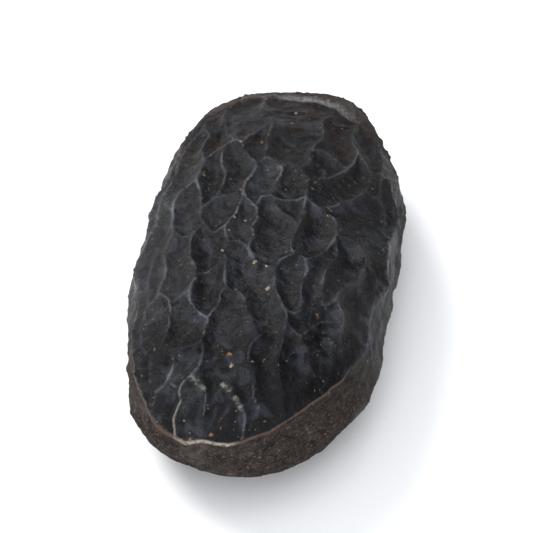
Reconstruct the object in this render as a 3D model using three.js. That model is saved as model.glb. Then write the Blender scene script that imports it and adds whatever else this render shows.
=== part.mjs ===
// One whole dried tonka bean: a long flattened seed lying on its broad side.
// Millimetres. +Y runs along the bean, +X across it and +Z up. The origin is on the surface
// that the bean rests on, under its middle.
import * as THREE from "three";

// Size of the smooth body, which the ridges stand out of
const LENGTH = 39.5;
const WIDTH = 18.3;
const THICKNESS = 10.8;

// Share of the thickness that lies below the widest line round the bean
const LOWER_SHARE = 0.46;

// How full the ends are, in plan and from the side: a higher power makes a blunter end
const PLAN_POWER = 2.8;
const NEAR_END_POWER = 3.4;
const FAR_END_POWER = 2.5;

// How square a cross-section is above and below the widest line, where 2 is an ellipse
const UPPER_POWER = 2.5;
const LOWER_POWER = 2.2;

// The body bows a little to one side, and its upper half is thinner towards the far end
const SIDE_BOW = 0.4;
const BOW_MIDDLE = 0.3;
const FAR_END_THINNING = 0.1;

// The flat spot that the bean rests on: how deep it cuts into the round belly, and the half width,
// half length and middle of the ground round it where the skin is smooth
const REST_CUT = 0.1;
const REST_HALF_WIDTH = 5;
const REST_HALF_LENGTH = 11;
const REST_MIDDLE = -1;

// The mesh: rings along the bean, with points at about equal distances round each ring
const RINGS = 96;
const RING_EVENING = 0.1;
const POINT_SPACING = 0.56;
const LEAST_SPACING = 0.28;
const TIP_TURN = 0.002;

// The raised net. A ridge is highest on its crest and falls away over its flank.
const RIDGE_HEIGHT = 0.5;
const RIDGE_FLANK = 0.45;
const CREST_ROUNDING = 0.25;
const JOIN_POWER = 4;
const CURVE_STEP = 0.5;

// How much an edge of the mesh would rather run along a crest
const CREST_PREFERENCE = 1.2;

// The net of the upper face. Each ridge is its height as a share of RIDGE_HEIGHT, then [x, y] points.
const UPPER_RIDGES = [
  // The edge of the upper face: round the near end, the right side, the far end and the left side
  [1.0, [-7, -13.4], [-6.3, -15], [-5.5, -16.5], [-4.8, -17.5], [-4, -18.2], [-3.3, -18.6],
    [-2.7, -18.9], [-1.6, -19], [-0.8, -19.1], [0.2, -19.1], [1, -18.9], [2.7, -18.1], [3.7, -17.2],
    [4.9, -15.9], [6, -14.4], [6.9, -12.4]],
  [0.8, [6.9, -12.4], [8, -9.6], [8.1, -6.4], [8.8, -2.6], [8.4, 0.8], [8.7, 4], [7.7, 7.6]],
  [0.6, [7.4, 4.6], [7.1, 8.6], [6.5, 11.2], [5.1, 13.2], [3.4, 14.7], [1.4, 15.5], [-0.2, 15.8],
    [-1.6, 15.9], [-3.4, 15.2]],
  [0.7, [-3.2, 15.3], [-5.2, 13.9], [-6.3, 12.2], [-7.3, 9.6], [-7.5, 6], [-8.4, 2.4], [-8.2, -0.6]],
  [0.8, [-7.6, 3], [-7.7, -0.6], [-8.5, -3.8], [-7.9, -7.2], [-7.7, -10.8], [-7, -13.4]],
  // The loop at the near end, and what joins it from the left
  [1.0, [-2.9, -15.5], [-3.3, -15.8], [-3.5, -16.4], [-3.3, -17], [-3.5, -17.5], [-3.6, -17.9],
    [-3.3, -18.6]],
  [0.9, [-4.6, -13.4], [-4.3, -14.2], [-4.3, -14.7], [-4.4, -15.3], [-4.1, -15.8], [-3.5, -16.4]],
  [0.6, [-4.4, -15.3], [-5.1, -16], [-5.2, -16.8], [-4.8, -17.5]],
  [0.7, [-2.6, -12.8], [-2.4, -13.8], [-2.4, -14.6], [-2.9, -15.5]],
  // The two swellings at the near end have sharp backs
  [0.7, [-0.8, -15.9], [-0.2, -16.3], [0.3, -16.8], [0.8, -17.3], [1.1, -17.9], [1, -18.9]],
  [0.6, [-2.9, -15.5], [-2.3, -15.9], [-1.9, -16.3], [-1.7, -16.9], [-1.7, -17.8]],
  // Near the middle line, from the near end to the far end
  [0.8, [-0.2, -9.1], [0.1, -10.1], [0.6, -11], [1, -12], [1.4, -12.4]],
  [0.9, [1.4, -12.4], [0.9, -13], [0.8, -13.9], [1.1, -14.6], [1.4, -15.4], [1.4, -16.2], [2, -17.2]],
  [0.7, [-0.6, -14.1], [-0.1, -14.7], [0.4, -14.8], [1.1, -14.6]],
  [0.8, [-1.6, -8.2], [-2, -8.5], [-2, -9.3], [-2, -9.9], [-2.4, -11], [-2.6, -12.8]],
  [0.8, [-1.6, -8.2], [-1.2, -8.4], [-0.6, -8.5], [-0.2, -9.1]],
  [0.9, [-2.1, -3.8], [-2.5, -4.5], [-2.1, -5.3], [-1.9, -6.4], [-1.8, -7.4], [-1.6, -8.2]],
  [0.8, [-2.1, -3.8], [-1.5, -3.7], [-1, -4.1], [-0.6, -4.8], [0, -5.6]],
  [1.0, [-1.9, 1.6], [-1.6, 0.9], [-1.1, 0.5], [-0.6, -0.2]],
  [0.8, [-1.9, 1.6], [-1.9, 0.2], [-2.1, -0.9], [-2.5, -2.1], [-2.1, -3.7]],
  [0.9, [-3.7, 0.7], [-3.2, 1.1], [-2.6, 1.4], [-1.9, 1.6]],
  [1.0, [-0.6, 1], [-0.6, -0.2], [-0.4, -1.3], [-0.7, -2.1], [-0.5, -3.2], [-0.7, -4.1], [-0.3, -5],
    [0, -5.6]],
  [0.9, [-0.6, 1.1], [0.1, 1.3], [1, 1.2], [1.8, 1.4], [2.6, 1.9]],
  [0.7, [0.2, 1.2], [0.9, 0.2], [1.6, -0.2], [2.3, -0.8]],
  [0.6, [0, -5.6], [0.8, -5.6], [1.6, -6.4]],
  [0.9, [-1.4, 5], [-1.5, 4.3], [-1.7, 3.3], [-1.9, 2.5], [-1.9, 1.6]],
  [0.7, [-1.4, 5], [-0.8, 5.8], [-0.1, 5.5], [0.1, 4.8]],
  [0.9, [1.8, 5.1], [1.1, 5.1], [0.5, 5], [0.4, 4], [0.2, 2.8], [0.1, 1.3]],
  [0.8, [-1.7, 15.9], [-2.1, 13.8], [-2.1, 12.6], [-1.8, 11.6], [-1.2, 10.7], [-1, 8.6], [-0.8, 5.8]],
  // Right of the middle line
  [0.9, [2.6, 1.9], [2.5, -0.7], [2.3, -1.9], [2.2, -2.6], [2.3, -3.6], [2.6, -4.1]],
  [0.9, [2.6, -4.1], [1.7, -4.9], [1.5, -5.5], [1.6, -6.4], [1.7, -7.5], [2, -8.5], [2.4, -9.6],
    [2.8, -10.7], [2.8, -12], [2.7, -13.2], [2.6, -14]],
  [0.5, [2.6, -14], [2.9, -14.7], [3.2, -15.4], [3.7, -17.2]],
  [0.8, [2.3, -3.6], [2.8, -3.8], [3.3, -4.5], [3.6, -6], [3.5, -7.8], [3.9, -9.4]],
  [0.7, [2.4, -9.6], [3.1, -10], [3.9, -9.4], [5, -8.7], [5.7, -7.5]],
  [0.7, [2.8, -11], [3.8, -11.6], [4.5, -12.7], [4.8, -14], [4.1, -15.2], [3.3, -15.7]],
  [0.6, [1.8, 5.1], [2.5, 4.1], [2.6, 1.9]],
  [0.7, [1.8, 5.1], [2.4, 6.1], [2.3, 7.7], [2.8, 9.4], [2.5, 11], [3, 12.6]],
  [0.7, [2.6, 1.9], [3.8, 1.4], [4.8, 0.5], [5, -1.2], [4.5, -3.1], [3.3, -4.5]],
  [0.8, [5, -1.2], [6.3, -1.2], [7.1, -2.4], [6.8, -4.7], [5.8, -7.1], [6.3, -9.1], [5.9, -11.6]],
  [0.45, [5.9, -11.6], [6.1, -13], [5.7, -14.7]],
  [0.7, [4.5, -12.7], [5.9, -11.6]],
  [0.8, [2.5, 4.1], [3.8, 4.7], [5, 6.4], [5.4, 8.6], [4.8, 10.3], [4.9, 12.4], [5.1, 13.2]],
  [0.7, [3.8, 1.4], [5.3, 2.7], [6.3, 4.7], [6.5, 6.8], [5.4, 8.6]],
  [0.5, [6.3, 4.7], [7.6, 4.5], [8.2, 3]],
  [0.6, [2.3, 7.7], [3.4, 7.6], [5, 6.4]],
  [0.5, [4.9, 12.4], [3.6, 11.8], [3, 12.6], [3.2, 14.8]],
  [0.35, [2.8, -12.2], [3.6, -13.2], [4.1, -15.2]],
  [0.5, [6.3, -9.1], [5, -9.9], [3.8, -11.6]],
  [0.5, [5, -1.2], [5.4, -3.2], [4.8, -5.5], [5, -8.7]],
  [0.4, [7.1, -2.4], [8.1, -3.6], [8.1, -6.4]],
  // Left of the middle line
  [0.8, [-2.7, 7.5], [-3.3, 7.7], [-3.8, 7], [-3.9, 5.1], [-3.4, 3.1], [-3.7, 0.7]],
  [0.6, [-1.2, 10.7], [-2.1, 9], [-2.7, 7.5], [-2.1, 6.1], [-1.4, 5]],
  [0.8, [-4.9, 13.2], [-4.8, 11.8], [-4.5, 10.6], [-4.1, 9.2], [-3.3, 7.7]],
  [0.9, [-3.7, 0.7], [-4.5, -0.4], [-4.1, -1.4], [-3.4, -2.5], [-2.5, -2.1]],
  [0.8, [-4.1, -1.4], [-4.7, -3], [-4.6, -4.8], [-4, -6.5], [-4.1, -8.3], [-3.5, -10], [-2.4, -11]],
  [0.8, [-6, 10.2], [-5.4, 8.8], [-5.5, 7], [-5, 5.1], [-5.3, 3.1], [-4.7, 1.3], [-4.5, -0.4]],
  [0.7, [-3.8, 7], [-4.7, 6.3], [-5, 5.1]],
  [0.7, [-4, -6.5], [-3.1, -6], [-2.1, -5.3]],
  [0.8, [-5.3, 3.1], [-6.3, 1.9], [-6.6, 0.2], [-6.2, -1.9], [-6.6, -3.8], [-6.1, -6], [-6.3, -8]],
  [0.6, [-4.7, -3], [-5.6, -2.8], [-6.2, -1.9]],
  [0.8, [-6.3, -8], [-5.4, -9.2], [-5.1, -11], [-5.3, -12.6], [-4.6, -13.4], [-3.5, -13.2],
    [-2.6, -12.8]],
  [0.7, [-4.1, -8.3], [-5.4, -9.2]],
  [0.7, [-6.3, -8], [-7, -9.3], [-7, -11.5], [-6, -13.6], [-5.8, -14.9], [-5.1, -16]],
  [0.7, [-6.6, 0.2], [-7.3, 1.9], [-7.3, 4], [-7, 5.5], [-7.1, 7.7], [-6.7, 9], [-6, 10.2]],
  [0.6, [-6.6, -3.8], [-7.3, -3.9], [-7.5, -5.6], [-7, -9.3]],
  [0.6, [-6, 10.2], [-6, 11.8], [-4.9, 13.2], [-4.6, 14.4]],
];

// Swellings and hollows of the upper face: [x, y, half width, half length, height]
const SWELLINGS = [
  [-2.4, -17.0, 0.75, 1.4, 0.45],
  [-0.1, -17.5, 0.8, 1.4, 0.45],
  [-1.3, -16.4, 0.5, 1.1, -0.35],
  [1.6, -16.8, 0.6, 1.0, -0.4],
  [-0.7, -10.8, 0.7, 1.3, 0.35],
  [-1.4, -6.3, 0.6, 1.3, 0.25],
  [-3.5, -4.1, 0.9, 2.2, -0.55],
  [-3.2, -7.7, 0.6, 1.8, -0.45],
  [-4.4, 9.2, 0.7, 1.6, -0.4],
  [-4.2, 4.0, 0.7, 1.6, -0.3],
  [1.4, 8.8, 2.0, 4.5, 0.3],
  [-3.0, 11.0, 1.4, 2.8, 0.25],
  [3.9, -1.5, 0.9, 1.8, -0.35],
  [5.2, -10.6, 0.8, 1.2, -0.3],
];

// The long soft wrinkles of the sides and the belly, spread over the angles below the upper face
const LONG_WRINKLES = 12;
const LONG_WRINKLE_SHARE = 0.55;
const LONG_WRINKLE_FIRST = -186;
const LONG_WRINKLE_LAST = 6;
const LONG_WRINKLE_SWAY = 6;
const LONG_WRINKLE_WAVES = 2;
const LONG_WRINKLE_REACH = 0.92;
const LONG_WRINKLE_SHORTENING = 0.5;
const LONG_WRINKLE_POINTS = 40;
const WRINKLE_SEED = 11;

// Broad unevenness, as waves through the whole body: [direction and rate, phase, height]
const WAVES = [
  [[0.31, 0.17, 0.22], 0.4, 0.16],
  [[-0.45, 0.29, 0.35], 2.1, 0.12],
  [[0.62, -0.41, 0.3], 4.4, 0.09],
];

const { cos, sin, sign, abs, sqrt, hypot, exp, max, min, round, ceil, PI } = Math;
const { degToRad, euclideanModulo } = THREE.MathUtils;
const lower = THICKNESS * LOWER_SHARE;
const upper = THICKNESS - lower;
const halfWidth = WIDTH / 2;
const halfLength = LENGTH / 2;

const bent = (value, power) => sign(value) * abs(value) ** power;
const endFall = (u, power) => sqrt(max(0, 1 - abs(u) ** power));
const bowed = (u) => SIDE_BOW * (BOW_MIDDLE - u * u);

// A point of the smooth body: u runs from -1 at the near end to 1 at the far end, and the angle
// runs round the section from +X, by the top at a quarter turn
function bodyPoint(u, angle) {
  const isUpper = sin(angle) >= 0;
  const power = 2 / (isUpper ? UPPER_POWER : LOWER_POWER);
  const thickness = isUpper ? upper * (1 - FAR_END_THINNING * max(0, u)) : lower;
  const reach = thickness * endFall(u, u < 0 ? NEAR_END_POWER : FAR_END_POWER);
  return new THREE.Vector3(
    halfWidth * endFall(u, PLAN_POWER) * bent(cos(angle), power) + bowed(u),
    halfLength * u,
    lower - REST_CUT + reach * bent(sin(angle), power),
  );
}

// The place on the body that lies straight under a point in plan
function upperPlace({ x, y }) {
  const u = y / halfLength;
  const share = (x - bowed(u)) / (halfWidth * endFall(u, PLAN_POWER));
  return { u, angle: Math.acos(bent(max(-1, min(1, share)), UPPER_POWER / 2)) };
}

// A ridge follows places on the body that lie close together
const makeRidge = (height, places) => ({
  height,
  places,
  line: places.map(({ u, angle }) => bodyPoint(u, angle)),
});

function upperRidge([height, ...corners]) {
  const curve = new THREE.SplineCurve(corners.map(([x, y]) => new THREE.Vector2(x, y)));
  return makeRidge(height, curve.getSpacedPoints(ceil(curve.getLength() / CURVE_STEP)).map(upperPlace));
}

// A seeded draw of numbers from 0 to 1
function seededDraw(seed) {
  let state = seed;
  return () => {
    state = (state * 16807) % 2147483647;
    return state / 2147483647;
  };
}

function longWrinkles() {
  const draw = seededDraw(WRINKLE_SEED);
  const spread = (LONG_WRINKLE_LAST - LONG_WRINKLE_FIRST) / LONG_WRINKLES;
  return Array.from({ length: LONG_WRINKLES }, (_, i) => {
    const middle = LONG_WRINKLE_FIRST + spread * (i + 0.5);
    const start = -LONG_WRINKLE_REACH + LONG_WRINKLE_SHORTENING * draw();
    const end = LONG_WRINKLE_REACH - LONG_WRINKLE_SHORTENING * draw();
    const rate = PI * LONG_WRINKLE_WAVES * (1 + draw());
    const phase = 2 * PI * draw();
    const places = Array.from({ length: LONG_WRINKLE_POINTS }, (_, k) => {
      const u = start + ((end - start) * k) / (LONG_WRINKLE_POINTS - 1);
      return { u, angle: degToRad(middle + LONG_WRINKLE_SWAY * sin(rate * u + phase)) };
    });
    return makeRidge(LONG_WRINKLE_SHARE, places);
  });
}

const ridges = [...UPPER_RIDGES.map(upperRidge), ...longWrinkles()];

// The least distance from a point to a ridge's line
function distanceTo({ line }, point) {
  const segment = new THREE.Line3();
  const closest = new THREE.Vector3();
  return line.slice(1).reduce((least, end, i) => {
    segment.set(line[i], end).closestPointToPoint(point, true, closest);
    return min(least, closest.distanceTo(point));
  }, Infinity);
}

// A ridge's height at a distance from its crest, as a share of its full height
const flank = (distance) => exp(CREST_ROUNDING - hypot(distance / RIDGE_FLANK, CREST_ROUNDING));

// How far a point of the belly belongs to the smooth ground round the flat spot
const restShare = ({ x, y }) =>
  exp(-((x / REST_HALF_WIDTH) ** 4) - ((y - REST_MIDDLE) / REST_HALF_LENGTH) ** 4);

// How far the skin stands out from the smooth body
function relief(point, isUpper) {
  const joined = ridges.reduce(
    (sum, ridge) => sum + (ridge.height * flank(distanceTo(ridge, point))) ** JOIN_POWER,
    0,
  );
  let height = RIDGE_HEIGHT * joined ** (1 / JOIN_POWER);
  if (isUpper)
    for (const [x, y, across, along, rise] of SWELLINGS)
      height += rise * exp(-(((point.x - x) / across) ** 2) - ((point.y - y) / along) ** 2);
  for (const [[a, b, c], phase, rise] of WAVES)
    height += rise * sin(a * point.x + b * point.y + c * point.z + phase);
  return isUpper ? height : height * (1 - restShare(point));
}

// The direction straight out of the smooth body
function outwardAt(turn, angle) {
  const step = 0.01;
  const along = bodyPoint(-cos(turn + step), angle).sub(bodyPoint(-cos(turn - step), angle));
  const around = bodyPoint(-cos(turn), angle + step).sub(bodyPoint(-cos(turn), angle - step));
  return along.cross(around).normalize();
}

function skinPoint(turn, angle) {
  const smooth = bodyPoint(-cos(turn), angle);
  const outward = outwardAt(turn, angle);
  const height = relief(smooth, outward.z > 0);
  const point = smooth.clone().addScaledVector(outward, height);
  point.z = max(0, point.z);
  return { point, height };
}

// The four quarter turns, and the angles at which ridges cross a section
function firmAngles(u) {
  const crossings = ridges.flatMap(({ places }) =>
    places.slice(1).flatMap((next, i) => {
      const share = (u - places[i].u) / (next.u - places[i].u);
      const angle = places[i].angle + (next.angle - places[i].angle) * share;
      return share >= 0 && share < 1 ? [euclideanModulo(angle, 2 * PI)] : [];
    }),
  );
  const kept = [];
  for (const angle of [0, PI / 2, PI, (3 * PI) / 2, ...crossings]) {
    const place = bodyPoint(u, angle);
    if (kept.every((other) => bodyPoint(u, other).distanceTo(place) > LEAST_SPACING)) kept.push(angle);
  }
  return kept.sort((a, b) => a - b);
}

// A ring of the skin, with a point on each crest and the others evenly between them
function makeRing(turn) {
  const u = -cos(turn);
  const firm = firmAngles(u);
  return firm.flatMap((angle, i) => {
    const next = firm[i + 1] ?? firm[0] + 2 * PI;
    const gap = bodyPoint(u, angle).distanceTo(bodyPoint(u, next));
    const count = max(1, round(gap / POINT_SPACING));
    return Array.from({ length: count }, (_, k) => skinPoint(turn, angle + ((next - angle) * k) / count));
  });
}

// Turns of equal length, drawn a little closer together near the quarter turn
const evened = (turn) => turn + RING_EVENING * sin(2 * turn);

// Triangles between two neighbouring rings. Each new edge would rather be short and on a crest.
function stitch(near, far, addFace) {
  const edgeCost = (i, k) => {
    const start = near[i % near.length];
    const end = far[k % far.length];
    return start.point.distanceTo(end.point) - CREST_PREFERENCE * min(start.height, end.height);
  };
  let i = 0;
  let k = 0;
  while (i < near.length || k < far.length) {
    const advanceNear = k === far.length || (i < near.length && edgeCost(i + 1, k) < edgeCost(i, k + 1));
    const third = advanceNear ? near[(i + 1) % near.length] : far[(k + 1) % far.length];
    addFace(near[i % near.length], far[k % far.length], third);
    if (advanceNear) i += 1;
    else k += 1;
  }
}

function beanGeometry() {
  const rings = Array.from({ length: RINGS }, (_, i) => makeRing(evened((PI * (i + 1)) / (RINGS + 1))));
  const nearTip = skinPoint(TIP_TURN, 0);
  const farTip = skinPoint(PI - TIP_TURN, 0);
  const positions = [];
  const addFace = (...corners) => corners.forEach(({ point }) => positions.push(...point.toArray()));
  rings[0].forEach((corner, k, ring) => addFace(nearTip, corner, ring[(k + 1) % ring.length]));
  for (let i = 1; i < rings.length; i++) stitch(rings[i - 1], rings[i], addFace);
  rings.at(-1).forEach((corner, k, ring) => addFace(corner, farTip, ring[(k + 1) % ring.length]));
  const geometry = new THREE.BufferGeometry();
  geometry.setAttribute("position", new THREE.Float32BufferAttribute(positions, 3));
  geometry.computeVertexNormals();
  return geometry;
}

const skinMaterial = new THREE.MeshStandardMaterial({ color: 0x3a3838, roughness: 0.55, metalness: 0 });

const bean = new THREE.Mesh(beanGeometry(), skinMaterial);
bean.name = "bean";

const model = new THREE.Group();
model.add(bean);
export default model;
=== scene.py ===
from functools import cached_property, reduce
from math import cos, pi, radians, sin
from typing import NamedTuple

import bpy
import numpy as np
from bpy.props import FloatProperty, FloatVectorProperty, PointerProperty
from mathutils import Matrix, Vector


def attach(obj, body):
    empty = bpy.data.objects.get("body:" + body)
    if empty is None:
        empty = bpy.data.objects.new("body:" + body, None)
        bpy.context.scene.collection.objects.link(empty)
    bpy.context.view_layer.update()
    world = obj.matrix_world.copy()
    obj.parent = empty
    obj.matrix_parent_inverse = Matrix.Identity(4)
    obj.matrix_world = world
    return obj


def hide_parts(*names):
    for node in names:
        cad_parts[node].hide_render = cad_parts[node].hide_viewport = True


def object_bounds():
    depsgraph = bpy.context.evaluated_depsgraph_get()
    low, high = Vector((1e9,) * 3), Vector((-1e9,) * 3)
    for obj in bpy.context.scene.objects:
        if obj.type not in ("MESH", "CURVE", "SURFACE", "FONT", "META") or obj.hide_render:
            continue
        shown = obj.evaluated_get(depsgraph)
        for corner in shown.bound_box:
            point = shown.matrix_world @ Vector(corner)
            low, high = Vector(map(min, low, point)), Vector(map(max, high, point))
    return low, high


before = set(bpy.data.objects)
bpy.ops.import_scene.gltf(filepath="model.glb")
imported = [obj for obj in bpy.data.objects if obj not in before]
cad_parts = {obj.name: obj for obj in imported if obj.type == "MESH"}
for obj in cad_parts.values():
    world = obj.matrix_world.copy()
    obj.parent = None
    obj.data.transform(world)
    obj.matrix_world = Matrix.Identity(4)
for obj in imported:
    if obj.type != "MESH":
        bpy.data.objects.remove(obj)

# A whole dried tonka bean on a pale floor. The frame is in metres. The bean's shape is worked out in
# millimetres, +Y along the bean and +Z up, and turned into metres when its mesh is made.
bl_info = {
    "name": "Dried Tonka Bean",
    "version": (1, 0, 0),
    "blender": (4, 5, 0),
    "location": "3D Viewport > Sidebar > Bean",
    "description": "Makes a dried tonka bean with its raised net of wrinkles, and a pale stage for it",
    "category": "Add Mesh",
}

CAD_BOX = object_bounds()
MM = 0.001

# The smooth body: how full the ends are in plan and from the side, and how square a section is
PLAN_POWER = 2.8
NEAR_END_POWER = 3.4
FAR_END_POWER = 2.5
UPPER_POWER = 2.5
LOWER_POWER = 2.2
BOW_MIDDLE = 0.3

# The smooth ground round the flat spot that the bean rests on: half width, half length and middle
REST_HALF_WIDTH = 5
REST_HALF_LENGTH = 11
REST_MIDDLE = -1.0

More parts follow.
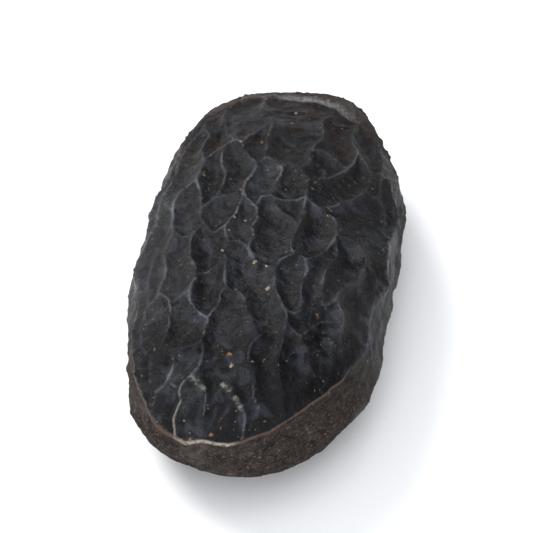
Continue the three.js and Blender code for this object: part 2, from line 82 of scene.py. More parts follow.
# The net of the upper face. Each ridge is its height as a share of the full height, then its points.
UPPER_RIDGES = [
    # The edge of the upper face: round the near end, the right side, the far end and the left side
    (1.0, (-7, -13.4), (-6.3, -15), (-5.5, -16.5), (-4.8, -17.5), (-4, -18.2), (-3.3, -18.6),
     (-2.7, -18.9), (-1.6, -19), (-0.8, -19.1), (0.2, -19.1), (1, -18.9), (2.7, -18.1), (3.7, -17.2),
     (4.9, -15.9), (6, -14.4), (6.9, -12.4)),
    (0.8, (6.9, -12.4), (8, -9.6), (8.1, -6.4), (8.8, -2.6), (8.4, 0.8), (8.7, 4), (7.7, 7.6)),
    (0.6, (7.4, 4.6), (7.1, 8.6), (6.5, 11.2), (5.1, 13.2), (3.4, 14.7), (1.4, 15.5), (-0.2, 15.8),
     (-1.6, 15.9), (-3.4, 15.2)),
    (0.7, (-3.2, 15.3), (-5.2, 13.9), (-6.3, 12.2), (-7.3, 9.6), (-7.5, 6), (-8.4, 2.4), (-8.2, -0.6)),
    (0.8, (-7.6, 3), (-7.7, -0.6), (-8.5, -3.8), (-7.9, -7.2), (-7.7, -10.8), (-7, -13.4)),
    # The loop at the near end, and what joins it from the left
    (1.0, (-2.9, -15.5), (-3.3, -15.8), (-3.5, -16.4), (-3.3, -17), (-3.5, -17.5), (-3.6, -17.9),
     (-3.3, -18.6)),
    (0.9, (-4.6, -13.4), (-4.3, -14.2), (-4.3, -14.7), (-4.4, -15.3), (-4.1, -15.8), (-3.5, -16.4)),
    (0.6, (-4.4, -15.3), (-5.1, -16), (-5.2, -16.8), (-4.8, -17.5)),
    (0.7, (-2.6, -12.8), (-2.4, -13.8), (-2.4, -14.6), (-2.9, -15.5)),
    # The two swellings at the near end have sharp backs
    (0.7, (-0.8, -15.9), (-0.2, -16.3), (0.3, -16.8), (0.8, -17.3), (1.1, -17.9), (1, -18.9)),
    (0.6, (-2.9, -15.5), (-2.3, -15.9), (-1.9, -16.3), (-1.7, -16.9), (-1.7, -17.8)),
    # Near the middle line, from the near end to the far end
    (0.8, (-0.2, -9.1), (0.1, -10.1), (0.6, -11), (1, -12), (1.4, -12.4)),
    (0.9, (1.4, -12.4), (0.9, -13), (0.8, -13.9), (1.1, -14.6), (1.4, -15.4), (1.4, -16.2), (2, -17.2)),
    (0.7, (-0.6, -14.1), (-0.1, -14.7), (0.4, -14.8), (1.1, -14.6)),
    (0.8, (-1.6, -8.2), (-2, -8.5), (-2, -9.3), (-2, -9.9), (-2.4, -11), (-2.6, -12.8)),
    (0.8, (-1.6, -8.2), (-1.2, -8.4), (-0.6, -8.5), (-0.2, -9.1)),
    (0.9, (-2.1, -3.8), (-2.5, -4.5), (-2.1, -5.3), (-1.9, -6.4), (-1.8, -7.4), (-1.6, -8.2)),
    (0.8, (-2.1, -3.8), (-1.5, -3.7), (-1, -4.1), (-0.6, -4.8), (0, -5.6)),
    (1.0, (-1.9, 1.6), (-1.6, 0.9), (-1.1, 0.5), (-0.6, -0.2)),
    (0.8, (-1.9, 1.6), (-1.9, 0.2), (-2.1, -0.9), (-2.5, -2.1), (-2.1, -3.7)),
    (0.9, (-3.7, 0.7), (-3.2, 1.1), (-2.6, 1.4), (-1.9, 1.6)),
    (1.0, (-0.6, 1), (-0.6, -0.2), (-0.4, -1.3), (-0.7, -2.1), (-0.5, -3.2), (-0.7, -4.1), (-0.3, -5),
     (0, -5.6)),
    (0.9, (-0.6, 1.1), (0.1, 1.3), (1, 1.2), (1.8, 1.4), (2.6, 1.9)),
    (0.7, (0.2, 1.2), (0.9, 0.2), (1.6, -0.2), (2.3, -0.8)),
    (0.6, (0, -5.6), (0.8, -5.6), (1.6, -6.4)),
    (0.9, (-1.4, 5), (-1.5, 4.3), (-1.7, 3.3), (-1.9, 2.5), (-1.9, 1.6)),
    (0.7, (-1.4, 5), (-0.8, 5.8), (-0.1, 5.5), (0.1, 4.8)),
    (0.9, (1.8, 5.1), (1.1, 5.1), (0.5, 5), (0.4, 4), (0.2, 2.8), (0.1, 1.3)),
    (0.8, (-1.7, 15.9), (-2.1, 13.8), (-2.1, 12.6), (-1.8, 11.6), (-1.2, 10.7), (-1, 8.6), (-0.8, 5.8)),
    # Right of the middle line
    (0.9, (2.6, 1.9), (2.5, -0.7), (2.3, -1.9), (2.2, -2.6), (2.3, -3.6), (2.6, -4.1)),
    (0.9, (2.6, -4.1), (1.7, -4.9), (1.5, -5.5), (1.6, -6.4), (1.7, -7.5), (2, -8.5), (2.4, -9.6),
     (2.8, -10.7), (2.8, -12), (2.7, -13.2), (2.6, -14)),
    (0.5, (2.6, -14), (2.9, -14.7), (3.2, -15.4), (3.7, -17.2)),
    (0.8, (2.3, -3.6), (2.8, -3.8), (3.3, -4.5), (3.6, -6), (3.5, -7.8), (3.9, -9.4)),
    (0.7, (2.4, -9.6), (3.1, -10), (3.9, -9.4), (5, -8.7), (5.7, -7.5)),
    (0.7, (2.8, -11), (3.8, -11.6), (4.5, -12.7), (4.8, -14), (4.1, -15.2), (3.3, -15.7)),
    (0.6, (1.8, 5.1), (2.5, 4.1), (2.6, 1.9)),
    (0.7, (1.8, 5.1), (2.4, 6.1), (2.3, 7.7), (2.8, 9.4), (2.5, 11), (3, 12.6)),
    (0.7, (2.6, 1.9), (3.8, 1.4), (4.8, 0.5), (5, -1.2), (4.5, -3.1), (3.3, -4.5)),
    (0.8, (5, -1.2), (6.3, -1.2), (7.1, -2.4), (6.8, -4.7), (5.8, -7.1), (6.3, -9.1), (5.9, -11.6)),
    (0.45, (5.9, -11.6), (6.1, -13), (5.7, -14.7)),
    (0.7, (4.5, -12.7), (5.9, -11.6)),
    (0.8, (2.5, 4.1), (3.8, 4.7), (5, 6.4), (5.4, 8.6), (4.8, 10.3), (4.9, 12.4), (5.1, 13.2)),
    (0.7, (3.8, 1.4), (5.3, 2.7), (6.3, 4.7), (6.5, 6.8), (5.4, 8.6)),
    (0.5, (6.3, 4.7), (7.6, 4.5), (8.2, 3)),
    (0.6, (2.3, 7.7), (3.4, 7.6), (5, 6.4)),
    (0.5, (4.9, 12.4), (3.6, 11.8), (3, 12.6), (3.2, 14.8)),
    (0.35, (2.8, -12.2), (3.6, -13.2), (4.1, -15.2)),
    (0.5, (6.3, -9.1), (5, -9.9), (3.8, -11.6)),
    (0.5, (5, -1.2), (5.4, -3.2), (4.8, -5.5), (5, -8.7)),
    (0.4, (7.1, -2.4), (8.1, -3.6), (8.1, -6.4)),
    # Left of the middle line
    (0.8, (-2.7, 7.5), (-3.3, 7.7), (-3.8, 7), (-3.9, 5.1), (-3.4, 3.1), (-3.7, 0.7)),
    (0.6, (-1.2, 10.7), (-2.1, 9), (-2.7, 7.5), (-2.1, 6.1), (-1.4, 5)),
    (0.8, (-4.9, 13.2), (-4.8, 11.8), (-4.5, 10.6), (-4.1, 9.2), (-3.3, 7.7)),
    (0.9, (-3.7, 0.7), (-4.5, -0.4), (-4.1, -1.4), (-3.4, -2.5), (-2.5, -2.1)),
    (0.8, (-4.1, -1.4), (-4.7, -3), (-4.6, -4.8), (-4, -6.5), (-4.1, -8.3), (-3.5, -10), (-2.4, -11)),
    (0.8, (-6, 10.2), (-5.4, 8.8), (-5.5, 7), (-5, 5.1), (-5.3, 3.1), (-4.7, 1.3), (-4.5, -0.4)),
    (0.7, (-3.8, 7), (-4.7, 6.3), (-5, 5.1)),
    (0.7, (-4, -6.5), (-3.1, -6), (-2.1, -5.3)),
    (0.8, (-5.3, 3.1), (-6.3, 1.9), (-6.6, 0.2), (-6.2, -1.9), (-6.6, -3.8), (-6.1, -6), (-6.3, -8)),
    (0.6, (-4.7, -3), (-5.6, -2.8), (-6.2, -1.9)),
    (0.8, (-6.3, -8), (-5.4, -9.2), (-5.1, -11), (-5.3, -12.6), (-4.6, -13.4), (-3.5, -13.2),
     (-2.6, -12.8)),
    (0.7, (-4.1, -8.3), (-5.4, -9.2)),
    (0.7, (-6.3, -8), (-7, -9.3), (-7, -11.5), (-6, -13.6), (-5.8, -14.9), (-5.1, -16)),
    (0.7, (-6.6, 0.2), (-7.3, 1.9), (-7.3, 4), (-7, 5.5), (-7.1, 7.7), (-6.7, 9), (-6, 10.2)),
    (0.6, (-6.6, -3.8), (-7.3, -3.9), (-7.5, -5.6), (-7, -9.3)),
    (0.6, (-6, 10.2), (-6, 11.8), (-4.9, 13.2), (-4.6, 14.4)),
]

# Swellings and hollows of the upper face: x, y, half width, half length, height
SWELLINGS = [
    (-2.4, -17.0, 0.75, 1.4, 0.45),
    (-0.1, -17.5, 0.8, 1.4, 0.45),
    (-1.3, -16.4, 0.5, 1.1, -0.35),
    (1.6, -16.8, 0.6, 1.0, -0.4),
    (-0.7, -10.8, 0.7, 1.3, 0.35),
    (-1.4, -6.3, 0.6, 1.3, 0.25),
    (-3.5, -4.1, 0.9, 2.2, -0.55),
    (-3.2, -7.7, 0.6, 1.8, -0.45),
    (-4.4, 9.2, 0.7, 1.6, -0.4),
    (-4.2, 4.0, 0.7, 1.6, -0.3),
    (1.4, 8.8, 2.0, 4.5, 0.3),
    (-3.0, 11.0, 1.4, 2.8, 0.25),
    (3.9, -1.5, 0.9, 1.8, -0.35),
    (5.2, -10.6, 0.8, 1.2, -0.3),
]

# The long soft wrinkles of the sides and the belly, spread over the angles below the upper face
LONG_WRINKLES = 12
LONG_WRINKLE_SHARE = 0.55
LONG_WRINKLE_FIRST = -186
LONG_WRINKLE_LAST = 6
LONG_WRINKLE_SWAY = 6
LONG_WRINKLE_WAVES = 2
LONG_WRINKLE_REACH = 0.92
LONG_WRINKLE_SHORTENING = 0.5
LONG_WRINKLE_POINTS = 40
WRINKLE_SEED = 11

# Broad unevenness, as waves through the whole body: direction and rate, phase, height
WAVES = [
    ((0.31, 0.17, 0.22), 0.4, 0.16),
    ((-0.45, 0.29, 0.35), 2.1, 0.12),
    ((0.62, -0.41, 0.3), 4.4, 0.09),
]

# How a ridge's crest is rounded, how ridges join, and how far from its box a ridge is looked for
CREST_ROUNDING = 0.25
JOIN_POWER = 4
RIDGE_REACH = 2.5

# How near a mesh point has to be to a ridge's crest to be moved onto it
SNAP_REACH = 0.08

# How finely a line is followed between two of its corners
LINE_STEPS = 6

# Which ridges make the edge of the upper face, and which is the pale loop at the near end
EDGE_RIDGES = 5
NEAR_LOOP = 5

# The backs of the two swellings at the near end, pale with rubbed crust and a painted glint
RUBBED_AND_GLINTING_BACKS = [
    [(-2.85, -15.7), (-2.3, -15.95), (-1.95, -16.3)],
    [(-0.8, -15.9), (-0.2, -16.3)],
    [(0.2, -16.7), (0.5, -17.0), (0.8, -17.4)],
]

# How much wider the crest lines of the sides are drawn than those of the upper face
SIDE_LINE_WIDTH = 2.0

# Crumbs that stick to the skin: x, y, radius
PALE_SPECKS = [
    (0.0, -5.6, 0.22), (-2.1, -1.2, 0.13), (-1.3, -1.2, 0.12), (-2.5, -4.5, 0.13), (0.8, -5.6, 0.12),
    (1.2, -7.8, 0.19), (-1.0, -8.1, 0.11), (-2.3, -2.4, 0.1), (-0.3, -14.8, 0.15), (1.1, -14.4, 0.1),
    (-5.1, 3.9, 0.12), (0.4, 12.9, 0.13), (0.3, 11.2, 0.12), (-3.0, 7.6, 0.14), (4.3, 0.9, 0.1),
]
RUST_SPECKS = [
    (-0.6, -13.8, 0.24), (-1.1, -18.9, 0.15), (-2.6, -2.0, 0.11), (-1.9, 2.3, 0.12), (2.9, 3.4, 0.12),
    (-5.3, -5.4, 0.12), (4.9, -9.3, 0.11), (-1.5, 8.1, 0.13), (-0.5, -18.6, 0.09),
]

# The mesh: a box's six sides, each a grid that is blown up onto the body. Cells across X, Y and Z.
GRID = (116, 272, 40)
MERGE_DIGITS = 6

# The seeded draw of numbers, and the mixing of whole numbers that the noise is made of
DRAW_RATE = 16807
DRAW_LIMIT = 2147483647
HASH_RATES = (73856093, 19349663, 83492791)
HASH_SEED_RATE = 2654435761
HASH_RATE = 1274126177
HASH_SHIFTS = (13, 16)
HASH_LIMIT = 0xFFFFFF

# The stage: the floor, the round soft lights, the room and the camera's nearest sight, in metres.
# A light is its place, its size, its power as a share of the key light's, and its tint.
FLOOR_WIDTH = 3.0
FLOOR_ROUGHNESS = 0.85
LIGHT_TARGET = (0, 0, 0.005)
LIGHTS = {
    "key": ((-0.34, 0.24, 0.4), 0.32, 1.0, (1, 0.99, 0.97)),
    "fill": ((0.1, -0.5, 0.4), 0.7, 0.7, (0.95, 0.97, 1)),
}
ROOM_TINT = (0.96, 0.975, 1)
ABOVE_SPAN = (0.78, 1.0)
FRONT_SPAN = (-0.1, -0.8)
CLIP_START = 0.01


def length_property(name, description, millimetres):
    return FloatProperty(name=name, description=description, default=millimetres * MM, unit="LENGTH")


def share_property(name, description, default):
    return FloatProperty(name=name, description=description, default=default, subtype="FACTOR")


def angle_property(name, description, degrees):
    return FloatProperty(name=name, description=description, default=radians(degrees), unit="ROTATION")


def colour_property(name, description, default):
    return FloatVectorProperty(name=name, description=description, default=default, subtype="COLOR")


class BeanBody(bpy.types.PropertyGroup):
    length: length_property("Length", "Length of the smooth body", 39.5)
    width: length_property("Width", "Width of the smooth body", 18.3)
    thickness: length_property("Thickness", "Thickness of the smooth body", 10.8)
    lower_share: share_property("Lower Share", "Share of the thickness below the widest line", 0.46)
    side_bow: length_property("Side Bow", "How far the middle bows to one side", 0.4)
    far_thinning: share_property(
        "Far End Thinning", "How much thinner the upper half gets at the far end", 0.1)
    rest_cut: length_property("Rest Cut", "How deep the flat spot cuts into the belly", 0.1)


class BeanNet(bpy.types.PropertyGroup):
    ridge_height: length_property("Ridge Height", "Height of the main ridges", 0.5)
    ridge_flank: length_property("Ridge Flank", "How far a ridge's side reaches", 0.45)
    crest_height: length_property("Crest Height", "Height of the thin crest on a ridge", 0.14)
    crest_width: length_property("Crest Width", "Half width of the thin crest", 0.14)
    edge_width: length_property(
        "Edge Width", "Half width of the crests on the sides and round the upper face", 0.28)
    fine_height: length_property(
        "Fine Net Height", "Height of the small wrinkles between the ridges", 0.13)
    side_height: length_property(
        "Side Wrinkle Height", "Height of the long fine wrinkles of the sides", 0.18)


class BeanColours(bpy.types.PropertyGroup):
    face: colour_property("Upper Face", "Black skin of the upper face", (0.0055, 0.006, 0.0075))
    # Painted shade: the bottoms of the hollows are darkened where shade falls between the ridges
    hollow_shade: colour_property("Hollows", "Skin at the bottom of the hollows", (0.0015, 0.0015, 0.0015))
    # The crest colour is partly rubbed wear and partly a painted highlight on the ridges
    crest: colour_property("Crests", "Rubbed pale crests of the net", (0.14, 0.148, 0.168))
    dry: colour_property(
        "Dry Patches", "Brown patches where the black skin is dull", (0.014, 0.0105, 0.0085))
    side: colour_property("Sides", "Dull brownish skin of the sides and the belly", (0.032, 0.026, 0.024))
    near_wall: colour_property(
        "Near End", "Lighter grainy skin below the upper face at the near end", (0.038, 0.029, 0.026))
    # Painted sheen: the skin beyond the upper face at the far end is made paler, as if it catches the light
    # from behind
    far_rim_sheen: colour_property(
        "Far Rim", "Pale greyish skin beyond the upper face at the far end", (0.06, 0.05, 0.046))
    lip: colour_property("Lip", "Pale broken edge of the upper face at the near end", (0.34, 0.29, 0.23))
    pale_speck: colour_property("Pale Specks", "Pale crystals on the skin", (0.33, 0.28, 0.2))
    rust_speck: colour_property("Rust Specks", "Orange-brown crumbs on the skin", (0.25, 0.125, 0.065))


class BeanStage(bpy.types.PropertyGroup):
    floor: colour_property("Floor", "Colour of the floor", (0.93, 0.935, 0.945))
    azimuth: angle_property("Azimuth", "Turn of the camera round the bean, from looking along +Y", 8.15)
    elevation: angle_property("Elevation", "Height of the camera above the horizon", 43)
    distance: length_property("Distance", "From the camera to the bean", 260)
    view_width: length_property("View Width", "Width of the picture at the bean", 38.5)
    key_power: FloatProperty(
        name="Key Light", description="Power of the main soft light", default=3.0, unit="POWER")
    overhead_light: FloatProperty(
        name="Overhead Light", description="Brightness of the room straight above", default=2.2)
    horizon_light: FloatProperty(
        name="Horizon Light", description="Brightness of the room near the horizon", default=0.15)
    front_light: FloatProperty(
        name="Front Light", description="Brightness added to the surroundings in front", default=1.0)


def between(share, start, end):
    """The start where the share is 0 and the end where it is 1."""
    return start + (end - start) * share


def bent(value, power):
    return np.sign(value) * np.abs(value) ** power


def end_fall(u, power):
    return np.sqrt(np.maximum(0, 1 - np.abs(u) ** power))


def smoothstep(low, high, value):
    share = np.clip((value - low) / (high - low), 0, 1)
    return share * share * (3 - 2 * share)


class Body:
    """The smooth body in millimetres, from the user's sizes."""

    def __init__(self, settings):
        self.half_length = settings.length / MM / 2
        self.half_width = settings.width / MM / 2
        self.lower = settings.thickness / MM * settings.lower_share
        self.upper = settings.thickness / MM - self.lower
        self.bow = settings.side_bow / MM
        self.thinning = settings.far_thinning
        self.cut = settings.rest_cut / MM

    def bowed(self, u):
        return self.bow * (BOW_MIDDLE - u * u)

    def points(self, u, angle):
        """Points at u, from -1 at the near end to 1 at the far end, and at an angle round from +X."""
        is_upper = np.sin(angle) >= 0
        power = 2 / np.where(is_upper, UPPER_POWER, LOWER_POWER)
        thickness = np.where(is_upper, self.upper * (1 - self.thinning * np.maximum(0, u)), self.lower)
        reach = thickness * np.where(u < 0, end_fall(u, NEAR_END_POWER), end_fall(u, FAR_END_POWER))
        return np.stack([
            self.half_width * end_fall(u, PLAN_POWER) * bent(np.cos(angle), power) + self.bowed(u),
            self.half_length * u,
            self.lower - self.cut + reach * bent(np.sin(angle), power),
        ], axis=-1)

    def upper_points(self, plan):
        """The points of the upper face that lie over places in plan."""
        u = plan[:, 1] / self.half_length
        share = (plan[:, 0] - self.bowed(u)) / (self.half_width * end_fall(u, PLAN_POWER))
        return self.points(u, np.arccos(bent(np.clip(share, -1, 1), UPPER_POWER / 2)))


def smooth_line(corners):
    """Points along a smooth curve through the corners."""
    padded = np.array([corners[0], *corners, corners[-1]], float)
    a, b, c, d = (padded[i:len(padded) - 3 + i, None] for i in range(4))
    t = (np.arange(LINE_STEPS) / LINE_STEPS)[None, :, None]
    curve = 0.5 * (2 * b + (c - a) * t + (2 * a - 5 * b + 4 * c - d) * t**2 + (3 * (b - c) + d - a) * t**3)
    return np.vstack([curve.reshape(-1, padded.shape[1]), padded[-1:]])


def seeded_draw(seed):
    """A seeded draw of numbers from 0 to 1."""
    state = seed
    while True:
        state = state * DRAW_RATE % DRAW_LIMIT
        yield state / DRAW_LIMIT


def long_wrinkles(body):
    draw = seeded_draw(WRINKLE_SEED)
    spread = (LONG_WRINKLE_LAST - LONG_WRINKLE_FIRST) / LONG_WRINKLES
    for i in range(LONG_WRINKLES):
        middle = LONG_WRINKLE_FIRST + spread * (i + 0.5)
        start = -LONG_WRINKLE_REACH + LONG_WRINKLE_SHORTENING * next(draw)
        end = LONG_WRINKLE_REACH - LONG_WRINKLE_SHORTENING * next(draw)
        rate = pi * LONG_WRINKLE_WAVES * (1 + next(draw))
        phase = 2 * pi * next(draw)
        u = np.linspace(start, end, LONG_WRINKLE_POINTS)
        angle = np.radians(middle + LONG_WRINKLE_SWAY * np.sin(rate * u + phase))
        yield LONG_WRINKLE_SHARE, body.points(u, angle)


def make_ridges(body):
    """Each ridge's share of the full height, and its line on the smooth body."""
    upper = [(share, body.upper_points(smooth_line(corners))) for share, *corners in UPPER_RIDGES]
    return upper + list(long_wrinkles(body))


def near_line(points, line, reach):
    """Which points are in the box round a line, widened by a reach."""
    return np.all((points > line.min(0) - reach) & (points < line.max(0) + reach), axis=1)


def moves_onto(points, start, end):
    """The move from each point to the nearest place between a start and an end."""
    along = end - start
    share = np.clip((points - start) @ along / (along @ along), 0, 1)
    return start + share[:, None] * along - points


def line_distances(line, points):
    """The least distance from each point to a line."""
    least = np.full(len(points), np.inf)
    for start, end in zip(line, line[1:]):
        least = np.minimum(least, np.linalg.norm(moves_onto(points, start, end), axis=1))
    return least


def hashed(cells, seed):
    """A number from 0 to 1 for each whole-numbered cell, always the same for the same seed."""
    first_shift, last_shift = HASH_SHIFTS
    mixed = np.bitwise_xor.reduce(cells.astype(np.int64) * HASH_RATES, axis=-1) ^ (seed * HASH_SEED_RATE)
    mixed = (mixed ^ (mixed >> first_shift)) * HASH_RATE
    return ((mixed ^ (mixed >> last_shift)) & HASH_LIMIT) / HASH_LIMIT


def noise(points, size, seed=0):
    """Smooth noise from -1 to 1 whose lumps are about the given size."""
    scaled = points / size
    cell = np.floor(scaled)
    share = smoothstep(0, 1, scaled - cell)
    total = 0
    for corner in np.ndindex(2, 2, 2):
        weight = np.prod(np.where(corner, share, 1 - share), axis=-1)
        total = total + weight * hashed(cell + corner, seed)
    return 2 * total - 1


def layered_noise(points, size, layers, seed=0):
    """Noise with finer and weaker layers added."""
    return sum(noise(points, size / 2**k, seed + k) / 2**k for k in range(layers))


def cell_edges(points, size, seed=0):
    """How far each point is from an edge between random cells: 0 on an edge, growing inward."""
    scaled = points / size
    cell = np.floor(scaled)
    nearest = np.full(len(points), np.inf)
    second = np.full(len(points), np.inf)
    for offset in np.ndindex(3, 3, 3):
        other = cell + np.array(offset) - 1
        centre = other + np.stack([hashed(other, seed + k) for k in range(3)], axis=-1)
        distance = np.linalg.norm(scaled - centre, axis=1)
        second = np.minimum(second, np.maximum(nearest, distance))
        nearest = np.minimum(nearest, distance)
    return (second - nearest) * size


def flank(distance, width):
    """A ridge's height at a distance from its crest, as a share of its full height."""
    return np.exp(CREST_ROUNDING - np.hypot(distance / width, CREST_ROUNDING))


def net_distances(points, ridges):
    """For each ridge: its share, which points are near it and their distances to it."""
    for share, line in ridges:
        near = near_line(points, line, RIDGE_REACH)
        yield share, near, line_distances(line, points[near])


def net_relief(distances, width):
    """The joined height of all ridges at each point, as a share of the full height."""
    joined = np.zeros(len(width))
    for share, near, away in distances:
        joined[near] += (share * flank(away, width[near])) ** JOIN_POWER
    return joined ** (1 / JOIN_POWER)


def onto_crests(points, ridges):
    """How far each point has to move to stand on the crest next to it, if one is close enough."""
    nearest = np.full(len(points), SNAP_REACH)
    moves = np.zeros_like(points)
    for _, line in ridges:
        indices = np.nonzero(near_line(points, line, SNAP_REACH))[0]
        for start, end in zip(line, line[1:]):
            move = moves_onto(points[indices], start, end)
            away = np.linalg.norm(move, axis=1)
            better = away < nearest[indices]
            nearest[indices[better]] = away[better]
            moves[indices[better]] = move[better]
    return moves


def nearest_ridge(distances, count):
    """How far each point is from the nearest ridge, and that ridge's share of the full height."""
    least = np.full(count, RIDGE_REACH)
    strength = np.zeros(count)
    for share, near, away in distances:
        indices = np.nonzero(near)[0]
        closer = away < least[indices]
        least[indices[closer]] = away[closer]
        strength[indices[closer]] = share
    return least, strength


def upper_edge_inside(points):
    """How far inside the edge of the upper face each point lies in plan, in millimetres."""
    corners = [corner for ridge in UPPER_RIDGES[:EDGE_RIDGES] for corner in ridge[1:]]
    turns = np.arctan2([y for x, y in corners], [x for x, y in corners])
    reach = np.hypot(*np.array(corners, float).T)
    order = np.argsort(turns)
    turn = np.arctan2(points[:, 1], points[:, 0])
    return np.interp(turn, turns[order], reach[order], period=2 * pi) - np.hypot(points[:, 0], points[:, 1])


def box_grid():
    """The corners of a box's surface grid from -1 to 1, its quads and the quads' places in a flat map."""
    nx, ny, nz = GRID
    sides = [
        # axis that is held, its value, the two axes that run over the side, and its place in the map
        (2, 1, 0, 1, (0, 0)), (2, -1, 1, 0, (nx, 0)), (0, 1, 1, 2, (2 * nx, 0)),
        (0, -1, 2, 1, (2 * nx + nz, 0)), (1, -1, 0, 2, (0, ny)), (1, 1, 2, 0, (nx, ny)),
    ]
    corners, quads, places = [], [], []
    for held, value, first, second, place in sides:
        n, m = GRID[first], GRID[second]
        i, j = np.meshgrid(np.arange(n + 1), np.arange(m + 1), indexing="ij")
        grid = np.zeros((n + 1, m + 1, 3))
        grid[..., held] = value
        grid[..., first] = 2 * i / n - 1
        grid[..., second] = 2 * j / m - 1
        index = (i * (m + 1) + j) + sum(len(c) for c in corners)
        corners.append(grid.reshape(-1, 3))
        around = [index[:-1, :-1], index[1:, :-1], index[1:, 1:], index[:-1, 1:]]
        quads.append(np.stack([a.ravel() for a in around], axis=1))
        across, up = (i, j) if m > n else (j, i)
        flat = np.stack([across + place[0], up + place[1]], axis=-1).reshape(-1, 2)
        places.append(flat)
    corners, quads, places = map(np.vstack, (corners, quads, places))
    _, first_use, merged = np.unique(
        np.round(corners, MERGE_DIGITS), axis=0, return_index=True, return_inverse=True)
    return corners[first_use], merged.ravel()[quads], places[quads.ravel()]


def vertex_normals(points, quads):
    a, b, c, d = (points[quads[:, k]] for k in range(4))
    face = np.cross(c - a, d - b)
    normals = np.zeros_like(points)
    for k in range(4):
        np.add.at(normals, quads[:, k], face)
    return normals / np.linalg.norm(normals, axis=1)[:, None]


def onto_body(corners, body):
    """Blows the box's surface up onto the smooth body."""
    directions = np.tan(corners * pi / 4)
    directions /= np.linalg.norm(directions, axis=1)[:, None]
    return body.points(directions[:, 1], np.arctan2(directions[:, 2], directions[:, 0]))


# The bending of the skin's patterns: the size of its lumps, and a seed for each axis
WARP_SIZE = 1.3
WARP_SEEDS = (1, 2, 3)


def warp(points):
    """A shift for each point, which changes smoothly from place to place."""
    return np.stack([noise(points, WARP_SIZE, seed) for seed in WARP_SEEDS], axis=-1)


class Pattern(NamedTuple):
    """Lumps or cells on the skin in millimetres. Rise is how much the lumps add at most, and the
    pattern may be stretched along the axes and bent."""

    size: float
    seed: int
    rise: float = 1
    layers: int = 1
    stretch: tuple = (1, 1, 1)
    bend: float = 0

    def seen_from(self, points):
        stretched = points / np.array(self.stretch)
        return stretched + self.bend * warp(points) if self.bend else stretched

    def lumps(self, points):
        return self.rise * layered_noise(self.seen_from(points), self.size, self.layers, self.seed)

    def off_edges(self, points):
        return cell_edges(self.seen_from(points), self.size, self.seed)


# Parts of the skin. Each comes in between two values: millimetres along X or Y or inward from the edge
# of the upper face, and for UPWARD how much the skin looks up. FAR_OUTSIDE stands for below the edge.
UPWARD = (-0.05, 0.25)
ON_FACE = (-0.25, 0.2)
NEAR_PART = (-10.5, -13.5)
FAR_PART = (11, 14)
WALL_PART = (-6.5, -12.0)
STRIATED_PART = (5, 10)
DULL_ACROSS = (1.0, 2.4)
DULL_ALONG = (-12.0, -13.6)
CALM_PART = (-13.0, -15.5)
LOOP_TONE = (-16.0, -18.6)
PALE_LEFT = (-3.8, -2.6)
PALE_RIGHT = (0.9, 0.1)
FAR_OUTSIDE = -3.0

# Where the tone of the skin changes along Y: from and to, and the pattern that makes the change ragged. The
# near tone also places the painted shade of the near end.
TONES = {
    "near_end": ((-7.5, -13.0), Pattern(2.6, 85, 2.5)),
    "far_end": ((8.5, 14.0), Pattern(2.6, 87, 2.5)),
    "near_tone": ((-6.5, -14), Pattern(3.0, 81, 2)),
    "far_tone": ((3, 9), Pattern(3.0, 83, 2)),
}

# How far the lines of the net waver, and how much less so at the calm near end
WOBBLE = 0.13
CALMING = 0.75

# The crests: how their width and height vary, and how strong they are outside the net and in the dull part
CREST_WIDTH_MEAN = 1.15
CREST_WIDTHS = Pattern(1.7, 15, 0.55)
CREST_HEIGHT_MEAN = 0.85
CREST_HEIGHTS = Pattern(1.9, 5, 0.35)
OUTER_CREST_SHARE = 0.8
DULL_CREST_SHARE = 0.4
SIDE_CREST_STRENGTH = 0.6

# The small net between the ridges, and how much of it there is on the sides and on the striated part
FINE_NET = Pattern(0.95, 21, stretch=(1, 1.3, 1), bend=0.25)
FINE_WIDTH = 0.13
FINE_PLACES = Pattern(3.1, 9)
FINE_PLACES_SPAN = (-0.5, 0.4)
FINE_SIDE_SHARE = 0.35
FINE_STRIATED_SHARE = 0.4

# The other low relief: patterns, and heights and widths in millimetres
STRIATIONS = Pattern(1.0, 31, 0.07, stretch=(2.4, 0.42, 1.0), bend=0.3)
STRIATION_LEAST = 0.2
GRAIN = Pattern(0.5, 41, 0.04, layers=2)
LUMPS = Pattern(0.85, 47, 0.05)
DENTS = Pattern(1.6, 91, 0.085, layers=2, bend=0.2)
WALL_FOLDS = Pattern(0.9, 27, stretch=(1.5, 1, 1), bend=0.3)
WALL_FOLD_DEPTH = 0.07
WALL_FOLD_WIDTH = 0.12
SIDE_WRINKLES = Pattern(1.15, 71, stretch=(1, 5.5, 1), bend=0.35)
SIDE_WRINKLE_SHARPNESS = 7

# The long crease in the wall of the near end: its level above the floor, sway, width and depth
CREASE_LEVEL = 2.9
CREASE_SWAY = Pattern(4.0, 53, 0.25)
CREASE_WIDTH = 0.16
CREASE_DEPTH = 0.09

# How pale the crests are: in patches, and less so on the striated part
PALE_PATCHES = Pattern(2.2, 61)
PALE_SPAN = (-0.7, 0.6)
PALE_STRIATED_SHARE = 0.5
PALE_LEAST = 0.2
SIDE_WRINKLE_PALENESS = 0.8

# How fast the painted shade of a hollow fades up a ridge and up a swelling
HOLLOW_SHADE_RIDGE_RATE = 2.2
HOLLOW_SHADE_SWELLING_RATE = 1.5

# How far inside its edge the upper face's colour ends at the far end, left and right of a stretch of X
FAR_EDGE_PULL = (0.35, 0.75)
FAR_EDGE_STRETCH = (-3.0, 1.0)


def wobbled(points):
    """The points moved a little, less so at the near end, which lets the lines of the net waver."""
    calm = smoothstep(*CALM_PART, points[:, 1])
    return points + WOBBLE * warp(points) * (1 - CALMING * calm)[:, None]


